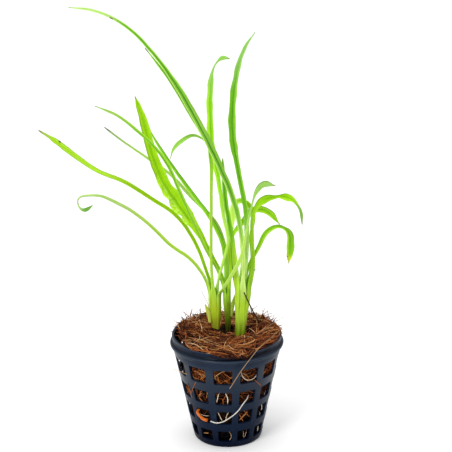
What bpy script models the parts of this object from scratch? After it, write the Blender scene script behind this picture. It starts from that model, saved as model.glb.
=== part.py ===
"""A young cryptocoryne in a 5 cm net pot: pot, coconut-fibre plug, three crowns, leaves, roots and straws.

Sizes are in millimetres and become metres when a mesh is made. The origin is the centre of the pot's
underside, +Z is up and -Y is the front.
"""
import math

import bmesh
import bpy
from mathutils import Quaternion, Vector, noise
from mathutils.geometry import interpolate_bezier

MM = 0.001
GAP = 0.3
FRONT = Vector((0.0, -1.0, 0.0))
SHARP_ANGLE = math.radians(50.0)

# Pot: a cone of wall with a bead and a thin collar above it
POT_HEIGHT = 50.0
BASE_RADIUS = 15.7
WALL_TOP = 45.2
WALL_TOP_RADIUS = 24.9
WALL = 1.0
FLOOR = 1.4
BASE_CHAMFER = 0.5
BEAD_RADIUS = 26.0
BEAD_HEIGHT = 2.4
COLLAR_RADIUS = 25.1
COLLAR_WALL = 0.9
EDGE = 0.3

# Windows: twelve columns of four, and six slots in the floor, all cut along the sides of the pot's facets
COLUMNS = 12
WINDOW_ROWS = [(3.2, 8.8), (12.7, 19.6), (23.2, 30.0), (34.2, 41.6)]
WINDOW_ANGLE = math.radians(21.0)
WINDOW_CENTRE = math.radians(-95.0)
WINDOW_FACETS = 3
SLOT_INNER = 5.5
SLOT_OUTER = 11.5
SLOT_PITCH = 8
SLOT_FACETS = 5

# Coir plug: its side's heights, its top's rings as shares of the radius, and how lumpy it is
COIR_SIDES = 36
COIR_HEIGHTS = [FLOOR + GAP, 5.0, 10.0, 16.0, 22.0, 28.0, 34.0, 39.0, 44.0, 47.8]
COIR_TOP_RINGS = [0.97, 0.78, 0.55, 0.3, 0.1]
COIR_CLEARANCE = 0.4
COIR_SIDE_LUMP = 0.7
COIR_SIDE_LUMP_SIZE = 5.0
COIR_TOP = 50.2
COIR_TOP_LUMP = 0.6
COIR_TOP_LUMP_SIZE = 4.0

# The plug's top dips round the slanting row of crowns, and its left side stops short of the wall
DIP_DEPTH = 2.4
DIP_RADIUS = 11.0
DIP_CENTRE = Vector((0.5, 4.5))
DIP_ALONG = Vector((12.0, -10.0)).normalized()
DIP_STRETCH = 0.55
SHORT_DEPTH = 3.6
SHORT_ANGLE = math.radians(192.0)
SHORT_SPREAD = math.radians(38.0)
SHORT_FROM = 28.0
SHORT_RISE = 12.0

# Each crown's rings from foot to top: height, centre x and y, half-width and half-depth
CROWNS = {
    "left": [
        (44.0, -5.0, 8.8, 1.3, 1.3),
        (49.5, -5.0, 8.8, 1.6, 1.6),
        (54.0, -5.1, 8.6, 2.5, 2.1),
        (59.0, -5.2, 8.4, 3.0, 2.5),
        (62.3, -5.3, 8.2, 3.2, 2.7),
        (63.0, -5.3, 8.2, 2.9, 2.4),
    ],
    "middle": [
        (43.0, 0.5, 5.2, 0.9, 0.9),
        (48.4, 0.6, 5.2, 1.0, 1.0),
        (54.0, 0.7, 5.4, 1.4, 1.5),
        (59.7, 0.7, 5.9, 1.8, 2.2),
        (62.4, 0.4, 6.3, 2.1, 2.7),
        (63.0, 0.4, 6.3, 1.9, 2.4),
    ],
    "right": [
        (42.0, 5.9, -0.8, 2.2, 2.0),
        (47.6, 6.0, -0.7, 2.4, 2.1),
        (55.5, 6.5, -0.4, 2.4, 2.3),
        (62.0, 6.9, 0.1, 2.8, 2.8),
        (68.2, 7.6, 0.7, 3.6, 3.4),
        (69.0, 7.6, 0.7, 3.3, 3.1),
    ],
}
CROWN_SIDES = 14
CROWN_RIBS = 3
CROWN_RIB_DEPTH = 0.06
CROWN_RIB_TWIST = 0.08

# A leaf rises upright from its crown before its route begins, and thins from its base to its blade to its tip
BASE_RISE = 2.2
PETIOLE_SHARE = 0.4
THICK_BASE = 0.95
THICK_BLADE = 0.5
THICK_TIP = 0.25
THICK_STUB = 0.6

# Across a blade: half-width share and half-thickness share, with the midrib sunk by a share of the width
BLADE_SECTION = [(-0.5, 0.0), (-0.2, 0.5), (0.2, 0.5), (0.5, 0.0), (0.2, -0.5), (-0.2, -0.5)]
FOLD = 0.12

# Each leaf: its crown, its foot on the crown's top, its lean, its midrib beyond, and pairs of a share of the
# length with the width seen from the front and, where the blade twists, with its further turn in degrees.
# The lean is how far the blade faces away from the front, in degrees. A leaf has turned to it by LEAN_FROM
# of its length, and it fades where the blade twists by up to LEAN_FADE.
FACING_FRONT = [(0, 0), (1, 0)]
LEAN_FROM = 0.25
LEAN_FADE = 70.0
STATIONS = 2
LEAVES = {
    "leaf_left_arch": dict(
        crown="left", foot=(-5.9, 6.6), lean=20,
        route=[(-6.5, 6.5, 77), (-6.5, 5, 93), (-6, 1, 117.5), (-6.2, -4, 134.5), (-8.4, -8, 142.3),
               (-13, -11, 145.4), (-16.6, -15, 144.9), (-21.9, -19, 140.5), (-22.7, -20, 137.4)],
        widths=[(0, 1.3), (0.5, 1.4), (0.68, 1.9), (0.78, 1.6), (0.92, 2.2), (1, 0.3)],
        turns=[(0, 0), (0.66, 0), (0.76, 62), (0.86, 15), (1, 0)],
    ),
    "leaf_left_hooked": dict(
        crown="left", foot=(-4.4, 8.9), lean=-28,
        route=[(-3.5, 6, 73.5), (-1, 5, 83.5), (1.1, 5.5, 92.3), (-0.5, 8, 101.5), (-3, 13, 119.5),
               (-5.9, 18, 135.5), (-6.4, 20.5, 147.3), (-5.9, 23, 159.5), (-4.3, 24, 168),
               (-2.5, 23.5, 170.8), (-0.3, 22, 172.6), (3, 20, 172.4)],
        widths=[(0, 1.2), (0.2, 1.2), (0.42, 1.8), (0.62, 3.1), (0.82, 2.8), (0.9, 1.9), (0.935, 1.3),
                (0.97, 2.0), (1, 0.3)],
        turns=[(0, 0), (0.85, 0), (0.925, -66), (0.97, 0), (1, 0)],
    ),
    "leaf_left_far": dict(
        crown="left", foot=(-6.3, 9.9), lean=32,
        route=[(-9.5, 10.5, 78), (-12.9, 11, 88), (-22.5, 9, 104), (-33.2, 5, 113.2), (-44.9, -1, 123),
               (-54.5, -7, 129), (-63.5, -13, 137.5), (-71.5, -20, 146.5), (-77, -24, 151.5)],
        widths=[(0, 1.4), (0.3, 1.5), (0.7, 1.6), (0.87, 2.5), (0.96, 1.2), (1, 0.3)],
    ),
    "leaf_left_curl": dict(
        crown="left", foot=(-7.8, 8.0), lean=28,
        route=[(-9.3, 6.5, 73.5), (-14.5, 4, 83), (-24.7, -2, 93.5), (-33, -9, 105), (-46.5, -19, 118.5),
               (-55, -25, 123.4), (-61.6, -29, 122.5), (-59.6, -31, 118.7), (-54.9, -32, 121.1)],
        widths=[(0, 1.3), (0.2, 1.4), (0.7, 1.3), (0.95, 2.1), (1, 0.4)],
        turns=[(0, 0), (0.7, 10), (0.89, 66), (0.96, 10), (1, 0)],
    ),
    "leaf_left_front": dict(
        crown="left", foot=(-3.0, 6.9), lean=-22,
        route=[(-1.5, 2.5, 70.2), (3, -3.5, 80), (7, -8, 90), (9, -10, 101), (11.5, -13, 114.5),
               (13.7, -15, 121.7), (16.7, -18, 125.4), (21.5, -21, 125.4)],
        widths=[(0, 1.4), (0.4, 1.6), (0.66, 1.0), (0.78, 1.0), (0.88, 2.7), (0.94, 2.8), (1, 0.3)],
        turns=[(0, 0), (0.6, 0), (0.75, -45), (0.95, -20), (1, -20)],
    ),
    "leaf_middle_broad": dict(
        crown="middle", foot=(-0.6, 6.7), lean=22, stations=3,
        route=[(-1.4, 9.3, 72.5), (-6.7, 11, 84), (-12.9, 11, 96.1), (-20.9, 9.5, 108.5), (-27.9, 7, 121.5),
               (-32.2, 4, 135.5), (-35.4, 0, 151.5), (-38, -3, 161)],
        widths=[(0, 1.2), (0.25, 2.0), (0.34, 3.4), (0.42, 6.3), (0.5, 6.9), (0.6, 5.2), (0.72, 4.2),
                (0.86, 3.7), (0.95, 2.3), (1, 0.3)],
    ),
    "leaf_middle_slender": dict(
        crown="middle", foot=(-0.6, 4.9), lean=34,
        route=[(-2.7, 8.5, 74.6), (-8.9, 8, 87.8), (-14.1, 6, 101.1), (-19.5, 2.5, 115.5), (-25, -3, 131),
               (-30, -7, 139.5), (-38, -10.5, 148.5), (-44.6, -14, 154.9), (-53.5, -20, 160.5)],
        widths=[(0, 1.2), (0.5, 1.4), (0.8, 1.2), (0.93, 1.0), (1, 0.3)],
    ),
    "leaf_middle_back": dict(
        crown="middle", foot=(1.1, 7.9), lean=36,
        route=[(0.8, 15.5, 78.8), (-2.9, 18, 94.6), (-16.5, 21, 110), (-24.5, 25, 118), (-34.3, 28, 124.8),
               (-46.7, 30, 133.3), (-55, 31, 139.7)],
        widths=[(0, 1.2), (0.5, 1.4), (0.85, 1.3), (1, 0.3)],
    ),
    "leaf_middle_long": dict(
        crown="middle", foot=(-0.4, 8.5), lean=32,
        route=[(0, 12.5, 78.9), (-1.9, 12.8, 90.6), (-6.6, 13.5, 100.4), (-15.3, 17, 112.2),
               (-25.9, 19.5, 127.3), (-31.9, 20.5, 137.3), (-35.2, 20.5, 144.3)],
        widths=[(0, 1.2), (0.2, 1.9), (0.55, 1.7), (0.85, 1.2), (1, 0.3)],
    ),
    "leaf_middle_right": dict(
        crown="middle", foot=(1.3, 5.2), lean=-26,
        route=[(2, 7.5, 81.5), (1.5, 8, 87), (3.5, 9, 94.5), (8, 11, 99.5), (13, 13, 104.5),
               (18.4, 15, 103.7), (25, 16, 96.5)],
        widths=[(0, 1.2), (0.5, 1.6), (0.72, 2.9), (0.9, 2.7), (1, 0.3)],
    ),
    "leaf_right_longest": dict(
        crown="right", foot=(7.4, -1.6), lean=28,
        route=[(8, -2.5, 85), (7.3, -4, 96), (5, -8, 111), (-1.2, -14, 130.5), (-11.4, -19, 154),
               (-26.3, -22, 179.6), (-38.1, -22, 192.8), (-45.9, -21, 197.7), (-54, -19, 200.2),
               (-63, -16, 200.8)],
        widths=[(0, 1.4), (0.3, 2.4), (0.5, 2.8), (0.62, 2.5), (0.73, 1.5), (0.86, 1.2), (0.95, 1.0),
                (1, 0.3)],
    ),
    "leaf_right_second": dict(
        crown="right", foot=(6.2, 1.0), lean=36,
        route=[(7.4, 0, 84), (7, -2, 96), (5.3, -5, 110), (-1, -10, 129.5), (-13.5, -15, 154.5),
               (-23, -17, 171.5), (-32.3, -16, 183.9)],
        widths=[(0, 1.3), (0.5, 1.7), (0.75, 1.5), (0.9, 1.1), (1, 0.3)],
    ),
    "leaf_right_short": dict(
        crown="right", foot=(4.7, -0.9), lean=24, stations=3,
        route=[(3.9, -2, 84.9), (3, -1.5, 95), (1.5, -1, 104.5), (0, 1, 115.5), (-0.8, 4, 131.2)],
        widths=[(0, 2.6), (0.22, 2.8), (0.4, 2.1), (0.8, 2.0), (0.94, 1.5), (1, 0.5)],
    ),
    "leaf_right_tall": dict(
        crown="right", foot=(7.9, 0.8), lean=-32,
        route=[(9.1, 1.5, 83.6), (9.5, 3, 98.2), (9, 5, 108.5), (6, 10, 124), (3.8, 14, 139.5),
               (4.3, 16, 157), (7.8, 15, 174), (10.3, 13.5, 179.8), (14, 11, 185.5)],
        widths=[(0, 1.5), (0.25, 2.2), (0.45, 2.3), (0.6, 3.5), (0.76, 2.8), (0.9, 1.8), (1, 0.3)],
    ),
    "leaf_right_wavy": dict(
        crown="right", foot=(10.7, -0.5), lean=-26,
        route=[(12.2, -1, 82.1), (11.8, -1, 97), (12.4, -2.2, 107.1), (16.4, -6, 114.5), (22.5, -10, 117.3),
               (28.2, -14.2, 117.8), (32.2, -17.5, 113.8), (32.9, -20, 107.6)],
        widths=[(0, 1.9), (0.15, 1.8), (0.5, 1.6), (0.65, 3.3), (0.73, 1.3), (0.8, 3.0), (0.88, 1.8),
                (0.94, 1.7), (1, 0.3)],
        turns=[(0, 0), (0.82, 0), (0.89, -60), (0.95, -10), (1, 0)],
    ),
    "leaf_right_folded": dict(
        crown="right", foot=(10.0, 1.6), lean=18, stations=3,
        route=[(11.8, 3, 83), (11.5, 5, 95), (12.4, 7, 105.2), (10, 8, 109), (6, 8, 110.5), (4, 7, 108.5),
               (3.5, 6, 104), (3.5, 5, 98)],
        widths=[(0, 1.2), (0.5, 1.5), (0.7, 2.4), (0.88, 2.9), (1, 0.3)],
    ),
    "leaf_right_drooping": dict(
        crown="right", foot=(8.3, 2.9), lean=-26,
        route=[(10, 4.5, 79.5), (14.8, 7, 88.5), (19.1, 11, 94.8), (23.8, 14, 96.2), (28.4, 16, 93.6),
               (30.1, 17, 87.7), (28.9, 15, 77.8)],
        widths=[(0, 1.2), (0.3, 1.6), (0.5, 2.1), (0.64, 1.8), (0.74, 3.2), (0.86, 4.3), (0.93, 3.2),
                (1, 0.3)],
        turns=[(0, 0), (0.56, 0), (0.67, -58), (0.76, -10), (1, 0)],
    ),
}

# Cut old sheaths beside the crowns: route and widths
STUBS = {
    "stub_left": (
        [(-7.6, 6.2, 52.5), (-8.4, 6.2, 58), (-9.8, 5.9, 62)], [(0, 1.2), (0.6, 2.0), (1, 0.6)]),
    "stub_middle": (
        [(2.3, 3.6, 56.5), (2.9, 3.6, 62), (4.0, 3.6, 67.4)], [(0, 0.9), (0.6, 1.6), (1, 0.5)]),
}
STUB_STATIONS = 3

# Round strands: route, radius at the start and radius at the end
ROOTS = {
    "root_white": (
        [(9.4, -17.1, 26.6), (8.6, -19.4, 25.9), (7.3, -20.4, 24.6), (4.5, -20.5, 20.5), (0.7, -20.2, 17),
         (-2.6, -19.6, 14.8), (-5.4, -18.9, 14.1), (-7.8, -18, 14.5)], 0.3, 0.35),
    "root_orange": (
        [(-13, -13.6, 18.3), (-13.7, -15, 17.6), (-12.7, -16.2, 16.6), (-11, -16.9, 15.1),
         (-9.3, -17.8, 14.9)], 0.6, 0.8),
}
STRAWS = {
    "straw_front": (
        [(27.3, 6, 51.6), (20.5, -8, 51.2), (13.6, -21.5, 50.8), (9.4, -25.8, 47.2), (6.1, -25.2, 42.2),
         (1, -23.5, 33)], 0.15, 0.25),
    "straw_back": ([(27, 14, 52), (20, 5, 51.5), (12, -7, 50.9)], 0.15, 0.25),
    "straw_dark": ([(8, -5.2, 71.4), (11.6, 0.8, 61.1), (15.5, 8, 50.9)], 0.3, 0.35),
}
STRAND_SIDES = 6
STRAND_REFERENCE = Vector((0.3, 0.2, 1.0))


def clear_scene():
    for thing in list(bpy.data.objects):
        bpy.data.objects.remove(thing, do_unlink=True)


def make_material(name, colour, roughness):
    material = bpy.data.materials.new(name)
    material.use_nodes = True
    shader = material.node_tree.nodes["Principled BSDF"]
    shader.inputs["Base Color"].default_value = (*colour, 1.0)
    shader.inputs["Roughness"].default_value = roughness
    shader.inputs["Metallic"].default_value = 0.0
    return material


def make_object(name, shape, material):
    """Turns a bmesh in millimetres into an object in metres."""
    bmesh.ops.recalc_face_normals(shape, faces=shape.faces)
    bmesh.ops.scale(shape, vec=Vector((MM, MM, MM)), verts=shape.verts)
    mesh = bpy.data.meshes.new(name)
    shape.to_mesh(mesh)
    shape.free()
    mesh.materials.append(material)
    mesh.shade_smooth()
    mesh.set_sharp_from_angle(angle=SHARP_ANGLE)
    thing = bpy.data.objects.new(name, mesh)
    bpy.context.scene.collection.objects.link(thing)
    return thing


def smooth_step(share):
    share = min(max(share, 0.0), 1.0)
    return share * share * (3.0 - 2.0 * share)


def read_profile(pairs, share):
    """Reads (share, value) pairs at a share of the length, easing between them."""
    for (start, low), (end, high) in zip(pairs, pairs[1:]):
        if share <= end:
            return low + (high - low) * smooth_step((share - start) / (end - start))
    return pairs[-1][1]


def heading(points, i):
    """The direction at a point: along the circle through it and its two neighbours, or straight at an end."""
    if i == 0:
        return (points[1] - points[0]).normalized()
    if i == len(points) - 1:
        return (points[i] - points[i - 1]).normalized()
    before = points[i] - points[i - 1]
    after = points[i + 1] - points[i]
    return (before.normalized() * after.length + after.normalized() * before.length).normalized()


def smooth_route(points, steps):
    """A smooth curve through the points, read at so many stations from each point to the next."""
    points = [Vector(point) for point in points]
    stations = []
    for i, (here, there) in enumerate(zip(points, points[1:])):
        reach = (there - here).length / 3
        leaving = here + heading(points, i) * reach
        arriving = there - heading(points, i + 1) * reach
        stations += interpolate_bezier(here, leaving, arriving, there, steps + 1)[:-1]
    return [*stations, points[-1]]


def along(stations):
    """Gives each station with its share of the length and its direction."""
    lengths = [0.0]
    for a, b in zip(stations, stations[1:]):
        lengths.append(lengths[-1] + (b - a).length)
    last = len(stations) - 1
    for i, station in enumerate(stations):
        direction = (stations[min(i + 1, last)] - stations[max(i - 1, 0)]).normalized()
        yield station, lengths[i] / lengths[-1], direction


def strip(shape, rings):
    """Joins each ring of vertices to the next."""
    for low, high in zip(rings, rings[1:]):
        for k in range(len(low)):
            following = (k + 1) % len(low)
            shape.faces.new((low[k], low[following], high[following], high[k]))


def loft(rings):
    """A closed body through rings of points, each as long as the next."""
    shape = bmesh.new()
    loops = [[shape.verts.new(point) for point in ring] for ring in rings]
    strip(shape, loops)
    shape.faces.new(loops[0])
    shape.faces.new(loops[-1])
    return shape


def blade(stations, widths, turns, thickness, lean=0.0):
    """A thin, slightly folded blade, turned about its midrib from facing the front by its lean and turns."""
    rings = []
    for station, share, direction in along(stations):
        twist = read_profile(turns, share)
        leaning = lean * smooth_step(share / LEAN_FROM) * (1.0 - abs(twist) / LEAN_FADE)
        turn = Quaternion(direction, math.radians(twist + leaning))
        out = (FRONT - direction * FRONT.dot(direction)).normalized()
        across = direction.cross(out)
        out.rotate(turn)
        across.rotate(turn)
        width = read_profile(widths, share) / math.cos(math.radians(leaning))
        thick = min(thickness(share), width)
        ring = []
        for u, v in BLADE_SECTION:
            dip = 0.0 if abs(u) == 0.5 else FOLD * width
            ring.append(station + across * (u * width) + out * (v * thick - dip))
        rings.append(ring)
    return loft(rings)


def strand(stations, start_radius, end_radius):
    """A round strand that tapers evenly."""
    rings = []
    for station, share, direction in along(stations):
        side = direction.cross(STRAND_REFERENCE).normalized()
        up = direction.cross(side)
        radius = start_radius + (end_radius - start_radius) * share
        ring = []
        for i in range(STRAND_SIDES):
            turn = math.tau * i / STRAND_SIDES
            ring.append(station + side * (radius * math.cos(turn)) + up * (radius * math.sin(turn)))
        rings.append(ring)
    return loft(rings)


def wall_radius(height):
    return BASE_RADIUS + (WALL_TOP_RADIUS - BASE_RADIUS) * height / WALL_TOP


def pot_angles():
    """The angles of the pot's sides: each column has a window of equal facets and then one rib."""
    angles = []
    for column in range(COLUMNS):
        start = WINDOW_CENTRE - WINDOW_ANGLE / 2 + math.tau * column / COLUMNS
        angles += [start + WINDOW_ANGLE * facet / WINDOW_FACETS for facet in range(WINDOW_FACETS + 1)]
    return angles


def pierced_sheet(shape, front, back, is_open):
    """Two sheets of cells, one behind the other, with a hole through both wherever a cell is open."""
    for level in range(len(front) - 1):
        for k in range(len(front[0])):
            following = (k + 1) % len(front[0])
            corners = [(level, k), (level, following), (level + 1, following), (level + 1, k)]
            if not is_open(level, k):
                shape.faces.new([front[row][side] for row, side in corners])
                shape.faces.new([back[row][side] for row, side in corners])
                continue
            beside = [(level - 1, k), (level, following), (level + 1, k), (level, k - 1)]
            for (a_row, a), (b_row, b), neighbour in zip(corners, corners[1:] + corners[:1], beside):
                if not is_open(*neighbour):
                    shape.faces.new((front[a_row][a], front[b_row][b], back[b_row][b], back[a_row][a]))


def is_window(level, side):
    """Every other level of the wall has windows, from the lowest up."""
    return level % 2 == 0 and side % (WINDOW_FACETS + 1) < WINDOW_FACETS


def is_slot(level, side):
    return level == 0 and side % SLOT_PITCH < SLOT_FACETS


def build_pot(material):
    shape = bmesh.new()
    angles = pot_angles()

    def ring(radius, height):
        return [shape.verts.new((radius * math.cos(a), radius * math.sin(a), height)) for a in angles]

    window_heights = [height for row in WINDOW_ROWS for height in row]
    outside = [ring(wall_radius(height), height) for height in window_heights]
    inside = [ring(wall_radius(height) - WALL, height) for height in window_heights]
    under = [ring(radius, 0.0) for radius in (SLOT_OUTER, SLOT_INNER)]
    above = [ring(radius, FLOOR) for radius in (SLOT_OUTER, SLOT_INNER)]
    pierced_sheet(shape, outside, inside, is_window)
    pierced_sheet(shape, under, above, is_slot)
    shape.faces.new(under[-1])
    shape.faces.new(above[-1])
    foot = [ring(BASE_RADIUS - BASE_CHAMFER, 0.0), ring(wall_radius(BASE_CHAMFER), BASE_CHAMFER)]
    strip(shape, [under[0], *foot, outside[0]])
    strip(shape, [above[0], ring(wall_radius(FLOOR) - WALL, FLOOR), inside[0]])
    collar_foot = WALL_TOP + BEAD_HEIGHT
    collar_inside = COLLAR_RADIUS - COLLAR_WALL
    rim = [
        ring(WALL_TOP_RADIUS, WALL_TOP),
        ring(BEAD_RADIUS - EDGE, WALL_TOP + EDGE / 2),
        ring(BEAD_RADIUS, WALL_TOP + BEAD_HEIGHT / 2),
        ring(BEAD_RADIUS - EDGE, collar_foot - EDGE),
        ring(COLLAR_RADIUS, collar_foot),
        ring(COLLAR_RADIUS, POT_HEIGHT - EDGE),
        ring(COLLAR_RADIUS - EDGE, POT_HEIGHT),
        ring(collar_inside + EDGE, POT_HEIGHT),
        ring(collar_inside, POT_HEIGHT - EDGE),
        ring(WALL_TOP_RADIUS - WALL, WALL_TOP),
    ]
    strip(shape, [outside[-1], *rim, inside[-1]])
    return make_object("net_pot", shape, material)


def lump(x, y, z, size):
    """A repeatable unevenness between -1 and 1, with lumps of about the given size."""
    return noise.noise(Vector((x, y, z)) / size)


def coir_radius(angle, height):
    """The plug nearly fills the wall's inside, and stops short of it near the top at the left."""
    radius = wall_radius(height) - WALL - COIR_CLEARANCE
    unevenness = lump(radius * math.cos(angle), radius * math.sin(angle), height, COIR_SIDE_LUMP_SIZE)
    radius -= COIR_SIDE_LUMP * (0.5 + 0.5 * unevenness)
    away = abs(math.remainder(angle - SHORT_ANGLE, math.tau)) / SHORT_SPREAD
    return radius - SHORT_DEPTH * smooth_step(1.0 - away) * smooth_step((height - SHORT_FROM) / SHORT_RISE)


def coir_height(x, y):
    """The top is rough, and dips around the three crowns."""
    place = Vector((x, y)) - DIP_CENTRE
    reach = math.hypot(place.dot(DIP_ALONG) * DIP_STRETCH, place.cross(DIP_ALONG))
    dip = DIP_DEPTH * smooth_step(1.0 - reach / DIP_RADIUS)
    return COIR_TOP - dip + COIR_TOP_LUMP * lump(x, y, COIR_TOP, COIR_TOP_LUMP_SIZE)


def build_coir(material):
    angles = [math.tau * i / COIR_SIDES for i in range(COIR_SIDES)]
    rings = []
    for height in COIR_HEIGHTS:
        ring = []
        for angle in angles:
            radius = coir_radius(angle, height)
            ring.append((radius * math.cos(angle), radius * math.sin(angle), height))
        rings.append(ring)
    edge = rings[-1]
    for share in COIR_TOP_RINGS:
        rings.append([(x * share, y * share, coir_height(x * share, y * share)) for x, y, height in edge])
    plug = make_object("coir_plug", loft(rings), material)
    for name, levels in CROWNS.items():
        cutter = make_object("socket_" + name, crown_shape(levels, GAP), material)
        cutter.hide_render = True
        cutter.display_type = "WIRE"
        cut = plug.modifiers.new("socket_" + name, "BOOLEAN")
        cut.operation = "DIFFERENCE"
        cut.solver = "EXACT"
        cut.object = cutter
    return plug


def crown_shape(levels, extra):
    """A fleshy stem base, softly ribbed where the sheaths wrap it; extra widens it all round and below."""
    rings = []
    for index, (height, x, y, half_width, half_depth) in enumerate(levels):
        foot = extra if index == 0 else 0.0
        ring = []
        for i in range(CROWN_SIDES):
            angle = math.tau * i / CROWN_SIDES
            swell = 1.0 + CROWN_RIB_DEPTH * math.cos(CROWN_RIBS * angle + height * CROWN_RIB_TWIST)
            ring.append((
                x + (half_width * swell + extra) * math.cos(angle),
                y + (half_depth * swell + extra) * math.sin(angle),
                height - foot,
            ))
        rings.append(ring)
    return loft(rings)


def leaf_thickness(share):
    if share < PETIOLE_SHARE:
        return THICK_BASE + (THICK_BLADE - THICK_BASE) * smooth_step(share / PETIOLE_SHARE)
    return THICK_BLADE + (THICK_TIP - THICK_BLADE) * (share - PETIOLE_SHARE) / (1.0 - PETIOLE_SHARE)


def build_leaf(name, plan, material):
    foot = CROWNS[plan["crown"]][-1][0] + GAP
    x, y = plan["foot"]
    points = [(x, y, foot), (x, y, foot + BASE_RISE), *plan["route"]]
    stations = smooth_route(points, plan.get("stations", STATIONS))
    shape = blade(stations, plan["widths"], plan.get("turns", FACING_FRONT), leaf_thickness, plan["lean"])
    return make_object(name, shape, material)


def build_stub(name, route, widths, material):
    stations = smooth_route(route, STUB_STATIONS)
    return make_object(name, blade(stations, widths, FACING_FRONT, lambda share: THICK_STUB), material)


def build_strand(name, route, start_radius, end_radius, material):
    return make_object(name, strand(smooth_route(route, STATIONS), start_radius, end_radius), material)


def main():
    clear_scene()
    plastic = make_material("pot plastic", (0.016, 0.024, 0.035), 0.42)
    fibre = make_material("coir", (0.20, 0.065, 0.018), 0.95)
    flesh = make_material("crown flesh", (0.36, 0.48, 0.03), 0.45)
    green = make_material("leaf green", (0.26, 0.50, 0.02), 0.45)
    sheath = make_material("old sheath", (0.62, 0.62, 0.14), 0.6)
    pale = make_material("pale root", (0.66, 0.62, 0.50), 0.5)
    orange = make_material("orange root", (0.62, 0.16, 0.02), 0.55)
    straw = make_material("straw", (0.46, 0.29, 0.13), 0.8)
    build_pot(plastic)
    build_coir(fibre)
    for name, levels in CROWNS.items():
        make_object("crown_" + name, crown_shape(levels, 0.0), flesh)
    for name, plan in LEAVES.items():
        build_leaf(name, plan, green)
    for name, (route, widths) in STUBS.items():
        build_stub(name, route, widths, sheath)
    for name, (route, start, end) in ROOTS.items():
        build_strand(name, route, start, end, orange if name == "root_orange" else pale)
    for name, (route, start, end) in STRAWS.items():
        build_strand(name, route, start, end, straw)


main()
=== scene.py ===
import math
import random

import bmesh
import bpy
from mathutils import Matrix, Vector, noise
from mathutils.geometry import interpolate_bezier


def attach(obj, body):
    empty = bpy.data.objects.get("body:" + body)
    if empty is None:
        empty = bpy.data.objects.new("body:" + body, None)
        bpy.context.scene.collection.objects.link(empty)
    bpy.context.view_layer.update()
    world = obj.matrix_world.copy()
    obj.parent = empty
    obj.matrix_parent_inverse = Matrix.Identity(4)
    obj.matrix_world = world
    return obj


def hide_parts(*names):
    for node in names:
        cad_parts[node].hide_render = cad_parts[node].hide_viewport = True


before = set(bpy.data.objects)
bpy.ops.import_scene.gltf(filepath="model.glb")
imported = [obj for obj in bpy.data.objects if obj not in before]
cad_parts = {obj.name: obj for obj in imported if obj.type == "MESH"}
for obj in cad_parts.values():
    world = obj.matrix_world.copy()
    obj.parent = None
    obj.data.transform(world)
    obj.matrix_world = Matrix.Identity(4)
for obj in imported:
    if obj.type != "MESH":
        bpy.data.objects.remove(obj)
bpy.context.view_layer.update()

MM = 0.001
BODY = "root"
GAP = 0.3

# The pot: a cone of wall with a bead and a thin collar above it
POT_HEIGHT = 50.0
BASE_RADIUS = 15.7
WALL_TOP = 45.2
WALL_TOP_RADIUS = 24.9
WALL = 1.0
FLOOR = 1.4
POT_SIDES = 120
POT_TURN = math.radians(2.5)
POT_SMOOTH = math.radians(40.0)
FLOOR_RINGS = [(7.5, 0.0), (9.5, 0.0), (11.5, 0.0), (13.5, 0.0), (14.9, 0.0), (15.5, 0.15), (15.8, 0.6)]
RIM_RINGS = [
    (24.65, 44.2), (24.85, 45.0), (25.1, 45.15), (25.7, 45.3), (26.0, 45.8), (26.0, 46.4), (25.75, 46.9),
    (25.25, 47.2), (24.85, 47.35), (24.7, 47.8), (24.75, 48.5), (25.0, 49.0), (25.1, 49.5), (25.1, 50.0),
]

# The pot's looks, by height: painted shade in the groove above the bead, a painted highlight along the lip's
# top edge and one along the bead, and where the wall turns glossy and the collar dull again
GROOVE_SHADE = (46.7, 47.2, 47.6, 48.2)
LIP_HIGHLIGHT = (49.5, 49.8)
BEAD_HIGHLIGHT = 46.4
WALL_SHINE = (12.0, 44.0)
COLLAR_DULL = (39.0, 44.0)

# Windows: twelve columns of four, and six slots in the floor
WINDOW_ROWS = [(3.2, 8.8), (12.7, 19.6), (23.2, 30.0), (34.2, 41.6)]
WINDOW_SIDES = 7
COLUMN_SIDES = 10
WINDOW_CENTRE = math.radians(-95.0)
WINDOW_ANGLE = math.radians(21.0)
CORNER_OUT = 1.0
CORNER_IN = 1.2
WINDOW_CREASE = 0.75
SLOT_INNER = 5.5
SLOT_OUTER = 11.5
SLOT_SIDES = 12
SLOT_PITCH = 20

# Coir plug, as in the frame: its side, its dipped top, and the gap at the left. SHORT_MORE is how much
# further in the top's fibres stop there.
COIR_CLEARANCE = 0.4
COIR_SIDE_LUMP = 0.7
COIR_SIDE_LUMP_SIZE = 5.0
COIR_TOP = 50.2
COIR_TOP_LUMP = 0.6
COIR_TOP_LUMP_SIZE = 4.0
DIP_DEPTH = 2.4
DIP_RADIUS = 11.0
DIP_CENTRE = Vector((0.5, 4.5))
DIP_ALONG = Vector((12.0, -10.0)).normalized()
DIP_STRETCH = 0.55
SHORT_DEPTH = 3.6
SHORT_ANGLE = math.radians(192.0)
SHORT_SPREAD = math.radians(38.0)
SHORT_FROM = 28.0
SHORT_MORE = 1.8
SHORT_RISE = 12.0

# Deep shade in the top's tangle, round the crowns: centre x and y, and radius
HOLLOWS = [(-4.4, 5.4, 4.2), (-0.2, 7.4, 5.0), (10.8, 4.8, 6.0)]
HOLLOW_SHADE = 0.93
HOLLOW_TOP = 50.8

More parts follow.
